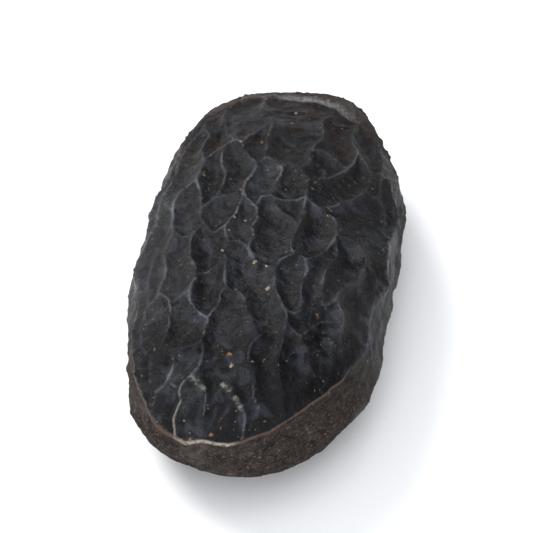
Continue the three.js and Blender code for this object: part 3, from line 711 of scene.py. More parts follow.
class Skin:
    """The wrinkled skin in millimetres: points on the smooth body, and how high each is to stand."""

    def __init__(self, settings):
        self.net = settings.net
        self.body = Body(settings.body)
        corners, self.quads, self.flat_map = box_grid()
        start = onto_body(corners, self.body)
        self.normals = vertex_normals(start, self.quads)
        self.ridges = make_ridges(self.body)
        net_part = slice(EDGE_RIDGES, len(UPPER_RIDGES))
        self.points = start + onto_crests(wobbled(start), self.ridges[net_part])
        self.warped = wobbled(self.points)
        distances = list(net_distances(self.warped, self.ridges))
        self.inner = distances[net_part]
        self.outer = distances[:EDGE_RIDGES] + distances[len(UPPER_RIDGES):]
        self.broad = net_relief(distances, self.everywhere(self.net.ridge_flank / MM))
        self.find_parts()

    def everywhere(self, value):
        return np.full(len(self.points), value)

    def find_parts(self):
        """How far each point is inside the upper face's edge, and how much it is in each part."""
        x, y, _ = self.points.T
        upward = self.normals[:, 2]
        self.inside = np.where(upward > 0, upper_edge_inside(self.warped), FAR_OUTSIDE)
        self.face = smoothstep(*ON_FACE, self.inside)
        self.near = smoothstep(*NEAR_PART, y)
        self.far = smoothstep(*FAR_PART, y)
        self.striated = smoothstep(*STRIATED_PART, y) * self.face
        self.dull = smoothstep(*DULL_ACROSS, x) * smoothstep(*DULL_ALONG, y)
        ground = np.exp(-((x / REST_HALF_WIDTH) ** 4) - ((y - REST_MIDDLE) / REST_HALF_LENGTH) ** 4)
        self.off_ground = np.where(upward > 0, 1, 1 - ground)

    @cached_property
    def swellings(self):
        """The swellings and hollows between the ridges, as heights."""
        x, y, _ = self.points.T
        height = np.zeros(len(self.points))
        for at_x, at_y, across, along, rise in SWELLINGS:
            height += rise * np.exp(-(((x - at_x) / across) ** 2) - ((y - at_y) / along) ** 2)
        return height

    def large_relief(self):
        """The ridges, the swellings between them and the broad waves."""
        height = self.net.ridge_height / MM * self.broad
        height += self.swellings * smoothstep(*UPWARD, self.normals[:, 2])
        for rate, phase, rise in WAVES:
            height += rise * np.sin(self.points @ np.array(rate) + phase)
        return height

    def crests(self):
        """The thin crests on the ridges, as a share of their full height."""
        varied = CREST_WIDTH_MEAN + CREST_WIDTHS.lumps(self.points)
        inner = net_relief(self.inner, self.net.crest_width / MM * varied)
        outer = net_relief(self.outer, self.everywhere(self.net.edge_width / MM))
        uneven = CREST_HEIGHT_MEAN + CREST_HEIGHTS.lumps(self.points)
        return np.maximum(inner, OUTER_CREST_SHARE * outer) * uneven * between(self.dull, 1, DULL_CREST_SHARE)

    @cached_property
    def fine_net(self):
        """The small wrinkles between the ridges, from 0 to 1."""
        places = smoothstep(*FINE_PLACES_SPAN, FINE_PLACES.lumps(self.points))
        return np.exp(-FINE_NET.off_edges(self.points) / FINE_WIDTH) * places * (1 - self.dull)

    @cached_property
    def side_wrinkles(self):
        """The long fine wrinkles of the sides, from 0 to 1."""
        sharp = (1 - np.abs(SIDE_WRINKLES.lumps(self.points))) ** SIDE_WRINKLE_SHARPNESS
        return sharp * (1 - self.face) * (1 - self.near)

    def wall_folds(self):
        folds = np.exp(-WALL_FOLDS.off_edges(self.points) / WALL_FOLD_WIDTH)
        return folds * (1 - self.face) * smoothstep(*WALL_PART, self.points[:, 1])

    @cached_property
    def crease(self):
        """The crease in the near wall, from 0 to 1."""
        level = CREASE_LEVEL + CREASE_SWAY.lumps(self.points)
        off_crease = (self.points[:, 2] - level) / CREASE_WIDTH
        return np.exp(-(off_crease**2)) * (1 - self.face) * self.near

    def small_relief(self):
        """The crests and all that is finer than the ridges."""
        points, face = self.points, self.face
        fine_share = between(face, FINE_SIDE_SHARE, 1) * between(self.striated, 1, FINE_STRIATED_SHARE)
        striation_share = between(self.striated, STRIATION_LEAST, 1) * face
        height = self.net.crest_height / MM * self.crests()
        height += self.net.fine_height / MM * self.fine_net * fine_share
        height += self.net.side_height / MM * self.side_wrinkles
        height += STRIATIONS.lumps(points) * striation_share
        height += GRAIN.lumps(points) + LUMPS.lumps(points) + DENTS.lumps(points) * face
        height -= WALL_FOLD_DEPTH * self.wall_folds()
        height -= CREASE_DEPTH * self.crease
        return height

    def finished_points(self):
        height = (self.large_relief() + self.small_relief()) * self.off_ground
        points = self.points + self.normals * height[:, None]
        points[:, 2] = np.maximum(points[:, 2], 0)
        return points

    def net_lines(self):
        """How far each point is from the nearest crest, and how strong that crest's line is."""
        away, strength = nearest_ridge(self.inner, len(self.points))
        side_away, side_strength = nearest_ridge(self.outer, len(self.points))
        is_side = side_away < away * SIDE_LINE_WIDTH
        away = np.where(is_side, side_away / SIDE_LINE_WIDTH, away)
        return away, np.where(is_side, SIDE_CREST_STRENGTH * side_strength * (1 - self.near), strength)

    def masks(self):
        """What the skin's colours need to know at each point."""
        points = self.points
        x, y, _ = points.T
        pale = smoothstep(*PALE_SPAN, PALE_PATCHES.lumps(points))
        pale = pale * between(self.striated, 1, PALE_STRIATED_SHARE)
        away, strength = self.net_lines()
        fine_crest = self.fine_net * pale + SIDE_WRINKLE_PALENESS * self.side_wrinkles
        # The painted shade of the hollows: strongest far from the ridges and the swellings
        hollow_shade = 1 - self.broad * HOLLOW_SHADE_RIDGE_RATE - self.swellings * HOLLOW_SHADE_SWELLING_RATE
        far_pull = between(smoothstep(*FAR_EDGE_STRETCH, x), *FAR_EDGE_PULL)
        backs = [self.body.upper_points(smooth_line(corners)) for corners in RUBBED_AND_GLINTING_BACKS]
        masks = {
            "inside": self.inside - self.far * far_pull,
            "up": self.normals[:, 2],
            "rightward": x,
            "near_part": self.near,
            "far_part": self.far,
            "away": away,
            "strength": strength * between(pale, PALE_LEAST, 1) * between(self.dull, 1, DULL_CREST_SHARE),
            "fine_crest": np.clip(fine_crest, 0, 1),
            "hollow_shade": np.clip(hollow_shade, 0, 1) * self.face,
            "pale_part": smoothstep(*PALE_LEFT, x) * smoothstep(*PALE_RIGHT, x) * self.near,
            "off_loop": line_distances(self.ridges[NEAR_LOOP][1], self.warped),
            "loop_tone": smoothstep(*LOOP_TONE, y),
            "off_back": np.min([line_distances(line, points) for line in backs], axis=0),
            "crease": self.crease,
        }
        for name, (stretch, pattern) in TONES.items():
            masks[name] = smoothstep(*stretch, y + pattern.lumps(points))
        return masks


def make_mesh(name, points, faces, uv=None, masks=None):
    """A smooth-shaded mesh object from points in metres and faces of equal size."""
    mesh = bpy.data.meshes.new(name)
    count, size = faces.shape
    mesh.vertices.add(len(points))
    mesh.vertices.foreach_set("co", points.astype(np.float32).ravel())
    mesh.loops.add(count * size)
    mesh.loops.foreach_set("vertex_index", faces.astype(np.int32).ravel())
    mesh.polygons.add(count)
    mesh.polygons.foreach_set("loop_start", np.arange(0, count * size, size, dtype=np.int32))
    mesh.polygons.foreach_set("use_smooth", np.ones(count, dtype=bool))
    mesh.update(calc_edges=True)
    for mask, values in (masks or {}).items():
        attribute = mesh.attributes.new(mask, "FLOAT", "POINT")
        attribute.data.foreach_set("value", values.astype(np.float32))
    if uv is not None:
        layer = mesh.uv_layers.new(name="OFBake")
        layer.data.foreach_set("uv", uv.astype(np.float32).ravel())
    mesh.validate()
    piece = bpy.data.objects.new(name, mesh)
    bpy.context.scene.collection.objects.link(piece)
    return piece


class Nodes:
    """A short way to add and join shader nodes."""

    def __init__(self, tree):
        self.tree = tree
        self.masks = {}
        tree.nodes.clear()

    def add(self, kind, values=None, **properties):
        node = self.tree.nodes.new(kind)
        for name, value in properties.items():
            setattr(node, name, value)
        for socket, value in (values or {}).items():
            if isinstance(value, bpy.types.NodeSocket):
                self.tree.links.new(value, node.inputs[socket])
            else:
                node.inputs[socket].default_value = value
        return node

    def group(self, tree, **values):
        return self.add("ShaderNodeGroup", values, node_tree=tree).outputs

    def mask(self, name):
        """A value that the mesh holds at its points, read by one node however often it is used."""
        if name not in self.masks:
            self.masks[name] = self.add("ShaderNodeAttribute", attribute_name=name).outputs["Fac"]
        return self.masks[name]

    def math(self, operation, first, second=0.0, clamp=False):
        node = self.add("ShaderNodeMath", {0: first, 1: second}, operation=operation, use_clamp=clamp)
        return node.outputs[0]

    def vector(self, operation, first, second):
        return self.add("ShaderNodeVectorMath", {0: first, 1: second}, operation=operation).outputs

    def total(self, *values):
        return reduce(lambda first, second: self.math("ADD", first, second), values)

    def product(self, *values):
        return reduce(lambda first, second: self.math("MULTIPLY", first, second), values)

    def most(self, first, second):
        return self.math("MAXIMUM", first, second)

    def span(self, value, low, high, start=0.0, end=1.0):
        """The value moved from one range to another, held at its ends."""
        node = self.add("ShaderNodeMapRange", {
            "Value": value, "From Min": low, "From Max": high, "To Min": start, "To Max": end})
        return node.outputs["Result"]

    def between(self, share, start, end):
        """The start where the share is 0 and the end where it is 1."""
        return self.span(share, 0.0, 1.0, start, end)

    def blend(self, share, first, second):
        """The first colour where the share is 0 and the second where it is 1."""
        node = self.add("ShaderNodeMix", {0: share, 6: first, 7: second}, data_type="RGBA")
        return node.outputs[2]

    def lay(self, under, mask, strength, over):
        """A plain colour laid over another one by a mask, no stronger than the given strength."""
        return self.blend(self.product(mask, strength), under, colour(over))

    def noise(self, place, size, **values):
        """Smooth noise whose lumps have about the given size in metres."""
        return self.add("ShaderNodeTexNoise", {"Vector": place, "Scale": 1 / size, **values}).outputs

    def bump(self, height, strength, distance, **values):
        """A normal roughened by a height. Normal, if given, is the one to start from."""
        node = self.add("ShaderNodeBump", {
            "Height": height, "Strength": strength, "Distance": distance, **values})
        return node.outputs["Normal"]


def colour(value):
    return (*value, 1.0)


def new_group(name, inputs, outputs):
    """An empty node group with named sockets, and its input node."""
    group = bpy.data.node_groups.new(name, "ShaderNodeTree")
    for in_out, sockets in (("INPUT", inputs), ("OUTPUT", outputs)):
        for socket, (kind, value) in sockets.items():
            added = group.interface.new_socket(socket, in_out=in_out, socket_type="NodeSocket" + kind)
            if value is not None:
                added.default_value = value
    n = Nodes(group)
    return n, n.add("NodeGroupInput").outputs


# The dry grain: its roughness, the rate of its mottle beside its own, and where both masks come in
GRAIN_ROUGHNESS = 0.65
MOTTLE_RATE = 0.15
MOTTLE_SPAN = (0.35, 0.66)
FLECK_SPAN = (0.57, 0.7)

# A crumb's mask falls off between these shares of its radius. The least reach keeps a division safe.
CRUMB_EDGE = (1.0, 0.7)
LEAST_REACH = 0.001


def grain_group():
    """Grain of dry plant skin: a height, a broad mottle and a mask of its light flecks."""
    n, inputs = new_group(
        "Dry Grain",
        {"Place": ("Vector", None), "Size": ("Float", 0.2 * MM)},
        {"Height": ("Float", None), "Mottle": ("Float", None), "Flecks": ("Float", None)})
    rate = n.math("DIVIDE", 1.0, inputs["Size"])
    fine = n.add("ShaderNodeTexNoise", {
        "Vector": inputs["Place"], "Scale": rate, "Detail": 4.0, "Roughness": GRAIN_ROUGHNESS})
    broad = n.add("ShaderNodeTexNoise", {
        "Vector": inputs["Place"], "Scale": n.product(rate, MOTTLE_RATE), "Detail": 5.0})
    n.add("NodeGroupOutput", {
        "Height": fine.outputs["Fac"], "Mottle": n.span(broad.outputs["Fac"], *MOTTLE_SPAN),
        "Flecks": n.span(fine.outputs["Fac"], *FLECK_SPAN)})
    return n.tree


def speck_group():
    """One crumb: a mask that is 1 within a radius of a spot in plan."""
    n, inputs = new_group(
        "Speck",
        {"Place": ("Vector", None), "Spot": ("Vector", None), "Radius": ("Float", 0.2 * MM)},
        {"Mask": ("Float", None)})
    level = n.vector("MULTIPLY", inputs["Place"], (1, 1, 0))["Vector"]
    away = n.vector("DISTANCE", level, inputs["Spot"])["Value"]
    share = n.math("DIVIDE", away, inputs["Radius"])
    n.add("NodeGroupOutput", {"Mask": n.span(share, *CRUMB_EDGE)})
    return n.tree


def dust_group():
    """Small crumbs scattered at random: a mask of them."""
    n, inputs = new_group(
        "Scattered Dust",
        {"Place": ("Vector", None), "Spacing": ("Float", 1 * MM), "Share": ("Float", 0.1)},
        {"Mask": ("Float", None)})
    cells = n.add("ShaderNodeTexVoronoi", {
        "Vector": inputs["Place"], "Scale": n.math("DIVIDE", 1.0, inputs["Spacing"])})
    parts = n.add("ShaderNodeSeparateColor", {"Color": cells.outputs["Color"]})
    reach = n.product(parts.outputs[0], inputs["Share"])
    share = n.math("DIVIDE", cells.outputs["Distance"], n.most(reach, LEAST_REACH))
    n.add("NodeGroupOutput", {"Mask": n.span(share, *CRUMB_EDGE)})
    return n.tree


# The skin's patterns in the material: how large each is, and where the masks made of it come in
RAGGED_SIZE = 0.2 * MM
RAGGED_REACH = 0.3 * MM
GRAIN_SIZE = 0.13 * MM
ROUGH_SIZE = 0.3 * MM
ROUGH_SQUASH = (1, 1, 1.8)
MOTTLE_SIZE = 0.09 * MM
PIT_SIZE = 0.42 * MM
PATCH_SIZE = 4.5 * MM
SWIRL_SIZE = 1.3 * MM
SWIRL_DETAIL = 2.5
SWIRL_DISTORTION = 0.6
NOISE_MIDDLE = 0.5
DRY_SPAN = (0.54, 0.7)
SATIN_SPAN = (0.42, 0.6)
SHEEN_SPAN = (0.54, 0.66)
FOLD_SPAN = (0.035, 0.0)

# A mask broken up by the grain: where the grain lets it through, and how much is left elsewhere
SOFT_GRAIN = (0.35, 0.6, 0.5, 1.0)
STRONG_GRAIN = (0.35, 0.6, 0.3, 1.0)
RUBBED_GLINT_GRAIN = (0.35, 0.62, 0.3, 1.0)
RIM_GRAIN = (0.38, 0.6, 0.3, 1.0)
LIP_GRAIN = (0.36, 0.52, 0.3, 1.0)
PIT_GRAIN = (0.38, 0.6)
CRUMB_GRAIN = (0.35, 0.65)

# The edge of the upper face, in millimetres inward from it, and how ragged it is. At the ends its colour
# fades by how far the skin looks up instead.
BORDER_SPAN = (-0.14, 0.04)
BORDER_RAGGEDNESS = 0.5
FADING_SPAN = (-0.5, 0.4)
FADING_RAGGEDNESS = 1.6
LINE_SPAN = (0.085, 0.02)
LINE_RAGGEDNESS = 0.1

# The painted highlight along the far rim: its outer and inner side, and how it fades to the left and to the
# right
RIM_OUTER = (-0.95, -0.5)
RIM_INNER = (0.0, -0.2)
RIM_LEFT = (-3.5, 0.0, 0.15, 1.0)
RIM_RIGHT = (5.5, 2.5, 0.1, 1.0)

# The loop at the near end, with its strength from its upper to its lower end, and the swellings' backs of
# rubbed crust and painted glint
LOOP_SPAN = (0.11, 0.02)
LOOP_STRENGTH = (0.12, 0.6)
BACK_SPAN = (0.24, -0.06)
BACK_RAGGEDNESS = 0.6

# The pale lines on the crests, partly rubbed wear and partly painted highlight: how ragged and wide they are,
# how wide their core is, the painted glint round them, where they are kept, and how pale the fine net is
CREST_RAGGEDNESS = 0.3
CREST_WIDTH_SPAN = (0.38, 0.62, 0.05, 0.15)
CREST_CORE = 0.2
GLINT_HALO_SPAN = (0.5, 0.0)
GLINT_HALO_STRENGTH = 0.13
KEPT_SPAN = (0.42, 0.6, 0.15, 1.0)
FINE_STRENGTH = 0.2

# Colours laid over the upper face: how strong each is at most, and the colour. A pair of strengths is
# for most of the skin and for the end of the bean that has the most of it.
# Painted shade at the bottom of the hollows
HOLLOW_SHADE_STRENGTH = 0.9
DRY_STRENGTH = 0.6
UPPER_MOTTLE = (0.6, (0.011, 0.012, 0.0155))
BROWN_FLECKS = (0.8, (0.043, 0.031, 0.026))
BROWN_FLECKS_LEAST = 0.3
RUSTY_PATCHES = ((0.15, 0.7), (0.019, 0.0125, 0.0105))
GREY_FLECKS = (0.4, (0.032, 0.032, 0.034))
# Painted shade over the near end of the upper face
NEAR_END_SHADE = (0.6, (0.001, 0.001, 0.0012))
SHEEN = (0.55, (0.045, 0.048, 0.06))
# Pale rubbed crust and a painted glint on the backs of the swellings
RUBBED_BACK_AND_GLINT = (0.9, (0.3, 0.295, 0.25))

# Colours laid over the sides, with painted shade in the folds, the pits and the crease
# Painted sheen on the far end of the sides
FAR_RIM_SHEEN_STRENGTH = 0.8
SIDE_PATCHES = (0.8, (0.026, 0.021, 0.019))
SIDE_FOLD_SHADE = (0.75, (0.014, 0.011, 0.01))
SIDE_MOTTLE = (0.3, (0.12, 0.09, 0.078))
SIDE_PIT_SHADE = (0.65, (0, 0, 0))
SIDE_FLECKS = ((0.2, 0.7), (0.17, 0.14, 0.115))
SIDE_CRESTS = (0.6, (0.12, 0.108, 0.098))
SIDE_CREASE_SHADE = (0.6, (0.018, 0.015, 0.014))

# Colours of the lines along the edge, with a painted highlight on the far rim, and the dark parts of the
# crumbs
BROWN_LINE = (0.7, (0.12, 0.08, 0.06))
# Painted highlight on the far rim
RIM_HIGHLIGHT = (0.8, (0.22, 0.21, 0.215))
PALE_SPECK_DARK = (0.13, 0.105, 0.075)
RUST_SPECK_DARK = (0.11, 0.045, 0.022)

# The scattered crumbs: how far apart, how large as a share of that, and how strong
PALE_DUST = (0.5 * MM, 0.2, 0.5)
RUST_DUST = (1.5 * MM, 0.1, 0.6)
CRUMB_UPWARD = (0.0, 0.2)

# Roughness and shine, on the sides and on the upper face, and what changes them
ROUGHNESS = (0.75, 0.2)
FAR_ROUGHNESS = 0.1
MOTTLE_ROUGHNESS = 0.1
SATIN_ROUGHNESS = 0.22
DRY_ROUGHNESS = 0.2
SHINE = (0.14, 0.17)
FAR_SHINE = (1.0, 0.6)
NEAR_SHINE = (1.0, 0.7)

# The bumps: strength and depth. A pair of values is for the sides and for the upper face.
FINE_BUMP = (0.85, 0.09 * MM)
PIT_BUMP = (0.6, 0.14 * MM)
ROUGH_BUMP = ((0.8, 0.5), 0.15 * MM)
CRUMB_RISE = 1.5
FOLD_SINKING = (0.8, 0.2)

# In the functions below, n adds nodes to the skin's material and p holds the patterns that they share


def new_material(name):
    material = bpy.data.materials.new(name)
    material.use_nodes = True
    return material, Nodes(material.node_tree)


class SkinPatterns:
    """The patterns that the skin's colours, roughness and bumps share."""

    def __init__(self, n):
        place = n.add("ShaderNodeTexCoord").outputs["Object"]
        shift = n.add("ShaderNodeVectorMath", {
            0: n.noise(place, RAGGED_SIZE, Detail=3.0)["Color"], "Scale": RAGGED_REACH},
            operation="SCALE").outputs["Vector"]
        centred = n.vector("ADD", shift, (-RAGGED_REACH / 2,) * 3)["Vector"]
        self.ragged = n.vector("ADD", place, centred)["Vector"]
        tree = grain_group()
        squashed = n.vector("MULTIPLY", place, ROUGH_SQUASH)["Vector"]
        self.grain = n.group(tree, Place=place, Size=GRAIN_SIZE)
        self.rough = n.group(tree, Place=squashed, Size=ROUGH_SIZE)
        self.mottle = n.group(tree, Place=self.ragged, Size=MOTTLE_SIZE)["Mottle"]
        self.patches = n.noise(place, PATCH_SIZE, Detail=4.0)
        self.swirls = n.noise(place, SWIRL_SIZE, Detail=SWIRL_DETAIL, Distortion=SWIRL_DISTORTION)["Fac"]
        self.dry = n.span(self.patches["Fac"], *DRY_SPAN)
        off_fold = n.math("ABSOLUTE", n.math("SUBTRACT", self.swirls, NOISE_MIDDLE))
        self.folds = n.span(off_fold, *FOLD_SPAN)
        self.uneven = n.math("SUBTRACT", self.rough["Height"], NOISE_MIDDLE)
        self.border = n.total(n.mask("inside"), n.product(self.uneven, BORDER_RAGGEDNESS))


def upper_share(n, p):
    """Where the skin has the look of the upper face."""
    mottled = n.math("SUBTRACT", p.patches["Fac"], NOISE_MIDDLE)
    fading = n.total(n.mask("up"), n.product(mottled, FADING_RAGGEDNESS))
    ends = n.most(n.mask("near_end"), n.mask("far_end"))
    by_turn, by_edge = n.span(fading, *FADING_SPAN), n.span(p.border, *BORDER_SPAN)
    return n.add("ShaderNodeMix", {0: ends, 2: by_turn, 3: by_edge}).outputs[0]


def worn_and_glinting_crests(n, p):
    """How much of the pale crest colour shows, partly rubbed wear and partly painted highlight: the lines on
    the ridges, the painted glint round them and the fine net.
    """
    off_crest = n.total(n.mask("away"), n.product(p.uneven, CREST_RAGGEDNESS))
    width = n.span(p.swirls, *CREST_WIDTH_SPAN)
    line = n.span(off_crest, width, n.product(width, CREST_CORE))
    # A painted glint beside the crest lines
    glint_halo = n.product(n.span(off_crest, *GLINT_HALO_SPAN), GLINT_HALO_STRENGTH)
    kept = n.span(p.patches["Color"], *KEPT_SPAN)
    crest_wear_and_highlight = n.product(n.total(line, glint_halo), n.mask("strength"), kept)
    crest_wear_and_highlight = n.math("ADD", crest_wear_and_highlight, n.product(n.mask("fine_crest"), FINE_STRENGTH), clamp=True)
    return n.product(crest_wear_and_highlight, n.span(p.grain["Height"], *SOFT_GRAIN))


def upper_colour(n, p, colours, crest_wear_and_highlight):
    """The black upper face with painted shade in its hollows and at the near end, its patches and flecks, a
    painted sheen, its pale crests of rubbed wear and painted highlight, and its backs of rubbed crust and
    painted glint.
    """
    far_tone = n.mask("far_tone")
    # Painted shade in the hollows
    skin = n.lay(colour(colours.face), n.mask("hollow_shade"), HOLLOW_SHADE_STRENGTH, colours.hollow_shade)
    skin = n.lay(skin, p.mottle, *UPPER_MOTTLE)
    skin = n.lay(skin, p.dry, DRY_STRENGTH, colours.dry)
    brownish = n.total(far_tone, BROWN_FLECKS_LEAST)
    skin = n.lay(skin, n.math("MULTIPLY", brownish, p.rough["Flecks"], clamp=True), *BROWN_FLECKS)
    rust_strength, rust = RUSTY_PATCHES
    skin = n.lay(skin, p.rough["Mottle"], n.between(far_tone, *rust_strength), rust)
    skin = n.lay(skin, p.grain["Flecks"], *GREY_FLECKS)
    # Painted shade over the near end
    skin = n.lay(skin, n.mask("near_tone"), *NEAR_END_SHADE)
    sheen = n.product(n.span(p.swirls, *SHEEN_SPAN), n.span(p.grain["Height"], *STRONG_GRAIN))
    skin = n.lay(skin, sheen, *SHEEN)
    # Pale crest lines: rubbed wear and a painted highlight
    skin = n.blend(crest_wear_and_highlight, skin, colour(colours.crest))
    # The backs of the swellings: pale rubbed crust and a painted glint
    off_back = n.total(n.mask("off_back"), n.product(p.uneven, BACK_RAGGEDNESS))
    rubbed_and_glint = n.product(n.span(off_back, *BACK_SPAN), n.span(p.grain["Height"], *RUBBED_GLINT_GRAIN))
    return n.lay(skin, rubbed_and_glint, *RUBBED_BACK_AND_GLINT)


def side_colour(n, p, colours, crest_wear_and_highlight):
    """The dull brownish sides and belly, lighter at the near end, with a painted sheen that makes the far end
    greyer and painted shade in the folds, pits and crease.
    """
    near_tone = n.mask("near_tone")
    skin = n.blend(near_tone, colour(colours.side), colour(colours.near_wall))
    # Painted sheen at the far end, as if the skin catches the light from behind
    skin = n.lay(skin, n.mask("far_end"), FAR_RIM_SHEEN_STRENGTH, colours.far_rim_sheen)
    skin = n.lay(skin, p.rough["Mottle"], *SIDE_PATCHES)
    # Painted shade in the folds
    skin = n.lay(skin, p.folds, *SIDE_FOLD_SHADE)
    skin = n.lay(skin, p.mottle, *SIDE_MOTTLE)
    # Painted shade in the pits of the grain
    pit_strength, pit_shade = SIDE_PIT_SHADE
    skin = n.blend(n.span(p.grain["Height"], *PIT_GRAIN), n.blend(pit_strength, skin, colour(pit_shade)), skin)
    fleck_strength, fleck = SIDE_FLECKS
    skin = n.lay(skin, p.rough["Flecks"], n.between(near_tone, *fleck_strength), fleck)
    # Pale crests on the sides: rubbed wear and a painted highlight
    skin = n.lay(skin, n.most(crest_wear_and_highlight, n.mask("fine_crest")), *SIDE_CRESTS)
    # Painted shade in the crease
    return n.lay(skin, n.mask("crease"), *SIDE_CREASE_SHADE)


def add_edge_lines(n, p, colours, skin):
    """The brown line round the near end, the pale lip and loop on it, and a painted highlight along the rim
    at the far end.
    """
    off_edge = n.math("ABSOLUTE", n.total(n.mask("inside"), n.product(p.uneven, LINE_RAGGEDNESS)))
    edge = n.product(n.span(off_edge, *LINE_SPAN), n.mask("near_part"))
    off_loop = n.total(n.mask("off_loop"), n.product(p.uneven, LINE_RAGGEDNESS))
    loop = n.product(n.span(off_loop, *LOOP_SPAN), n.between(n.mask("loop_tone"), *LOOP_STRENGTH))
    pale_part, rough, rightward = n.mask("pale_part"), p.rough["Height"], n.mask("rightward")
    lip = n.product(n.most(n.product(edge, pale_part), loop), n.span(rough, *LIP_GRAIN))
    # Painted highlight along the rim of the far end
    rim_highlight = n.product(
        n.span(p.border, *RIM_OUTER), n.mask("far_part"), n.span(p.border, *RIM_INNER),
        n.span(rightward, *RIM_LEFT), n.span(rightward, *RIM_RIGHT), n.span(rough, *RIM_GRAIN))
    skin = n.lay(skin, n.product(edge, n.math("SUBTRACT", 1.0, pale_part)), *BROWN_LINE)
    skin = n.lay(skin, rim_highlight, *RIM_HIGHLIGHT)
    return n.blend(lip, skin, colour(colours.lip))


def crumb_mask(n, p, specks, dust, speck_tree, dust_tree):
    """The joined mask of single crumbs, on the skin that looks up, and of scattered small ones."""
    single = 0.0
    for x, y, radius in specks:
        spot = n.group(speck_tree, Place=p.ragged, Spot=(x * MM, y * MM, 0), Radius=radius * MM)["Mask"]
        single = n.most(spot, single)
    spacing, share, strength = dust
    scattered = n.group(dust_tree, Place=p.ragged, Spacing=spacing, Share=share)["Mask"]
    upward = n.span(n.mask("up"), *CRUMB_UPWARD)
    return n.most(n.product(single, upward), n.product(scattered, strength))


def skin_normal(n, p, face, crumbs):
    """The skin's normal, with its fine grain and folds, its pits and its coarse grain."""
    pits = n.add("ShaderNodeTexVoronoi", {
        "Vector": p.ragged, "Scale": 1 / PIT_SIZE}, feature="SMOOTH_F1").outputs["Distance"]
    rise = n.total(p.grain["Height"], n.product(crumbs, CRUMB_RISE))
    rise = n.math("SUBTRACT", rise, n.product(p.folds, n.between(face, *FOLD_SINKING)))
    rough_strength, rough_depth = ROUGH_BUMP
    normal = n.bump(rise, *FINE_BUMP)
    normal = n.bump(pits, *PIT_BUMP, Normal=normal)
    return n.bump(p.rough["Height"], n.between(face, *rough_strength), rough_depth, Normal=normal)


def skin_roughness(n, p, face, crumbs):
    rough = n.total(
        n.between(face, *ROUGHNESS), n.product(n.mask("far_tone"), FAR_ROUGHNESS),
        n.product(p.grain["Mottle"], MOTTLE_ROUGHNESS),
        n.product(n.span(p.swirls, *SATIN_SPAN), SATIN_ROUGHNESS))
    return n.math("ADD", rough, n.product(n.most(crumbs, p.dry), DRY_ROUGHNESS), clamp=True)


def skin_shine(n, face):
    return n.product(
        n.between(face, *SHINE), n.between(n.mask("far_tone"), *FAR_SHINE),
        n.between(n.mask("near_tone"), *NEAR_SHINE))


def skin_material(colours):
    material, n = new_material("Wrinkled Skin")
    p = SkinPatterns(n)
    face = upper_share(n, p)
    crest_wear_and_highlight = worn_and_glinting_crests(n, p)
    skin = n.blend(face, side_colour(n, p, colours, crest_wear_and_highlight), upper_colour(n, p, colours, crest_wear_and_highlight))
    skin = add_edge_lines(n, p, colours, skin)
    trees = speck_group(), dust_group()
    pale = crumb_mask(n, p, PALE_SPECKS, PALE_DUST, *trees)
    rust = crumb_mask(n, p, RUST_SPECKS, RUST_DUST, *trees)
    tint = n.span(p.grain["Height"], *CRUMB_GRAIN)
    skin = n.blend(pale, skin, n.blend(tint, colour(PALE_SPECK_DARK), colour(colours.pale_speck)))
    skin = n.blend(rust, skin, n.blend(tint, colour(RUST_SPECK_DARK), colour(colours.rust_speck)))
    crumbs = n.most(pale, rust)
    shader = n.add("ShaderNodeBsdfPrincipled", {
        "Base Color": skin, "Roughness": skin_roughness(n, p, face, crumbs),
        "Specular IOR Level": skin_shine(n, face), "Normal": skin_normal(n, p, face, crumbs)})
    n.add("ShaderNodeOutputMaterial", {"Surface": shader.outputs["BSDF"]})
    return material


def floor_material(floor):
    material, n = new_material("Pale Floor")
    shader = n.add("ShaderNodeBsdfPrincipled", {"Base Color": colour(floor), "Roughness": FLOOR_ROUGHNESS})
    n.add("ShaderNodeOutputMaterial", {"Surface": shader.outputs["BSDF"]})
    return material


class BEAN_OT_make_skin(bpy.types.Operator):
    """Make the bean's wrinkled skin in the place of its plain solid"""

    bl_idname = "bean.make_skin"
    bl_label = "Make Bean Skin"

    def execute(self, context):
        settings = context.scene.bean
        skin = Skin(settings)
        uv = skin.flat_map / skin.flat_map.max()
        piece = make_mesh("bean_skin", skin.finished_points() * MM, skin.quads, uv, skin.masks())
        piece.data.materials.append(skin_material(settings.colours))
        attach(piece, "root")
        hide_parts("bean")
        return {"FINISHED"}


def add_light(name, place, size, power, tint):
    """A round soft light that looks at the bean."""
    light = bpy.data.lights.new(name, "AREA")
    light.shape = "DISK"
    light.size = size
    light.energy = power
    light.color = tint
    lamp = bpy.data.objects.new(name, light)
    lamp.location = place
    lamp.rotation_euler = (Vector(LIGHT_TARGET) - Vector(place)).to_track_quat("-Z", "Y").to_euler()
    bpy.context.scene.collection.objects.link(lamp)


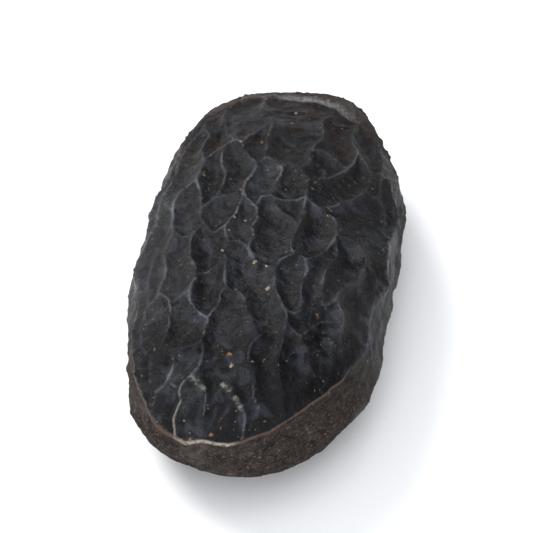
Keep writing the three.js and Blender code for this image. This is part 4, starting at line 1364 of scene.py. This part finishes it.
class BEAN_OT_make_stage(bpy.types.Operator):
    """Make the pale floor, the soft lights and the camera"""

    bl_idname = "bean.make_stage"
    bl_label = "Make Stage"

    def execute(self, context):
        scene = context.scene
        stage = scene.bean.stage
        self.make_floor(stage)
        for name, (place, size, share, tint) in LIGHTS.items():
            add_light(name, place, size, share * stage.key_power, tint)
        self.make_room(scene, stage)
        self.make_camera(scene, stage)
        scene.view_settings.view_transform = "Standard"
        return {"FINISHED"}

    def make_floor(self, stage):
        half = FLOOR_WIDTH / 2
        corners = np.array([(-half, -half, 0), (half, -half, 0), (half, half, 0), (-half, half, 0)])
        floor = make_mesh("floor", corners, np.array([[0, 1, 2, 3]]))
        floor.data.materials.append(floor_material(stage.floor))

    def make_room(self, scene, stage):
        """The light of the surroundings: brightest straight above, and some more in front."""
        world = scene.world or bpy.data.worlds.new("Room")
        scene.world = world
        world.use_nodes = True
        n = Nodes(world.node_tree)
        toward = n.add("ShaderNodeTexCoord").outputs["Generated"]
        split = n.add("ShaderNodeSeparateXYZ", {"Vector": toward}).outputs
        above = n.span(split["Z"], *ABOVE_SPAN, stage.horizon_light, stage.overhead_light)
        in_front = n.span(split["Y"], *FRONT_SPAN, 0.0, stage.front_light)
        strength = n.total(above, in_front)
        sky = n.add("ShaderNodeBackground", {"Color": colour(ROOM_TINT), "Strength": strength})
        n.add("ShaderNodeOutputWorld", {"Surface": sky.outputs["Background"]})

    def make_camera(self, scene, stage):
        low, high = CAD_BOX
        middle = (Vector(low) + Vector(high)) / 2
        camera = bpy.data.objects.new("camera", bpy.data.cameras.new("camera"))
        camera.data.lens = camera.data.sensor_width * stage.distance / stage.view_width
        level = cos(stage.elevation)
        back = Vector((sin(stage.azimuth) * level, -cos(stage.azimuth) * level, sin(stage.elevation)))
        camera.location = middle + back * stage.distance
        camera.rotation_euler = back.to_track_quat("Z", "Y").to_euler()
        camera.data.clip_start = CLIP_START
        scene.collection.objects.link(camera)
        scene.camera = camera


class BeanSettings(bpy.types.PropertyGroup):
    body: PointerProperty(type=BeanBody)
    net: PointerProperty(type=BeanNet)
    colours: PointerProperty(type=BeanColours)
    stage: PointerProperty(type=BeanStage)


class BEAN_PT_panel(bpy.types.Panel):
    """The bean's settings and the buttons that make it"""

    bl_idname = "BEAN_PT_panel"
    bl_label = "Dried Tonka Bean"
    bl_space_type = "VIEW_3D"
    bl_region_type = "UI"
    bl_category = "Bean"

    def draw(self, context):
        settings = context.scene.bean
        parts = (("Body", settings.body), ("Net", settings.net), ("Colours", settings.colours),
                 ("Stage", settings.stage))
        for title, group in parts:
            box = self.layout.box()
            box.label(text=title)
            for name in group.__annotations__:
                box.prop(group, name)
        self.layout.operator("bean.make_skin")
        self.layout.operator("bean.make_stage")


CLASSES = (BeanBody, BeanNet, BeanColours, BeanStage, BeanSettings, BEAN_OT_make_skin,
           BEAN_OT_make_stage, BEAN_PT_panel)


def register():
    for cls in CLASSES:
        bpy.utils.register_class(cls)
    bpy.types.Scene.bean = PointerProperty(type=BeanSettings)


def unregister():
    del bpy.types.Scene.bean
    for cls in reversed(CLASSES):
        bpy.utils.unregister_class(cls)


def main():
    register()
    bpy.ops.bean.make_skin()
    bpy.ops.bean.make_stage()


if __name__ == "__main__":
    main()
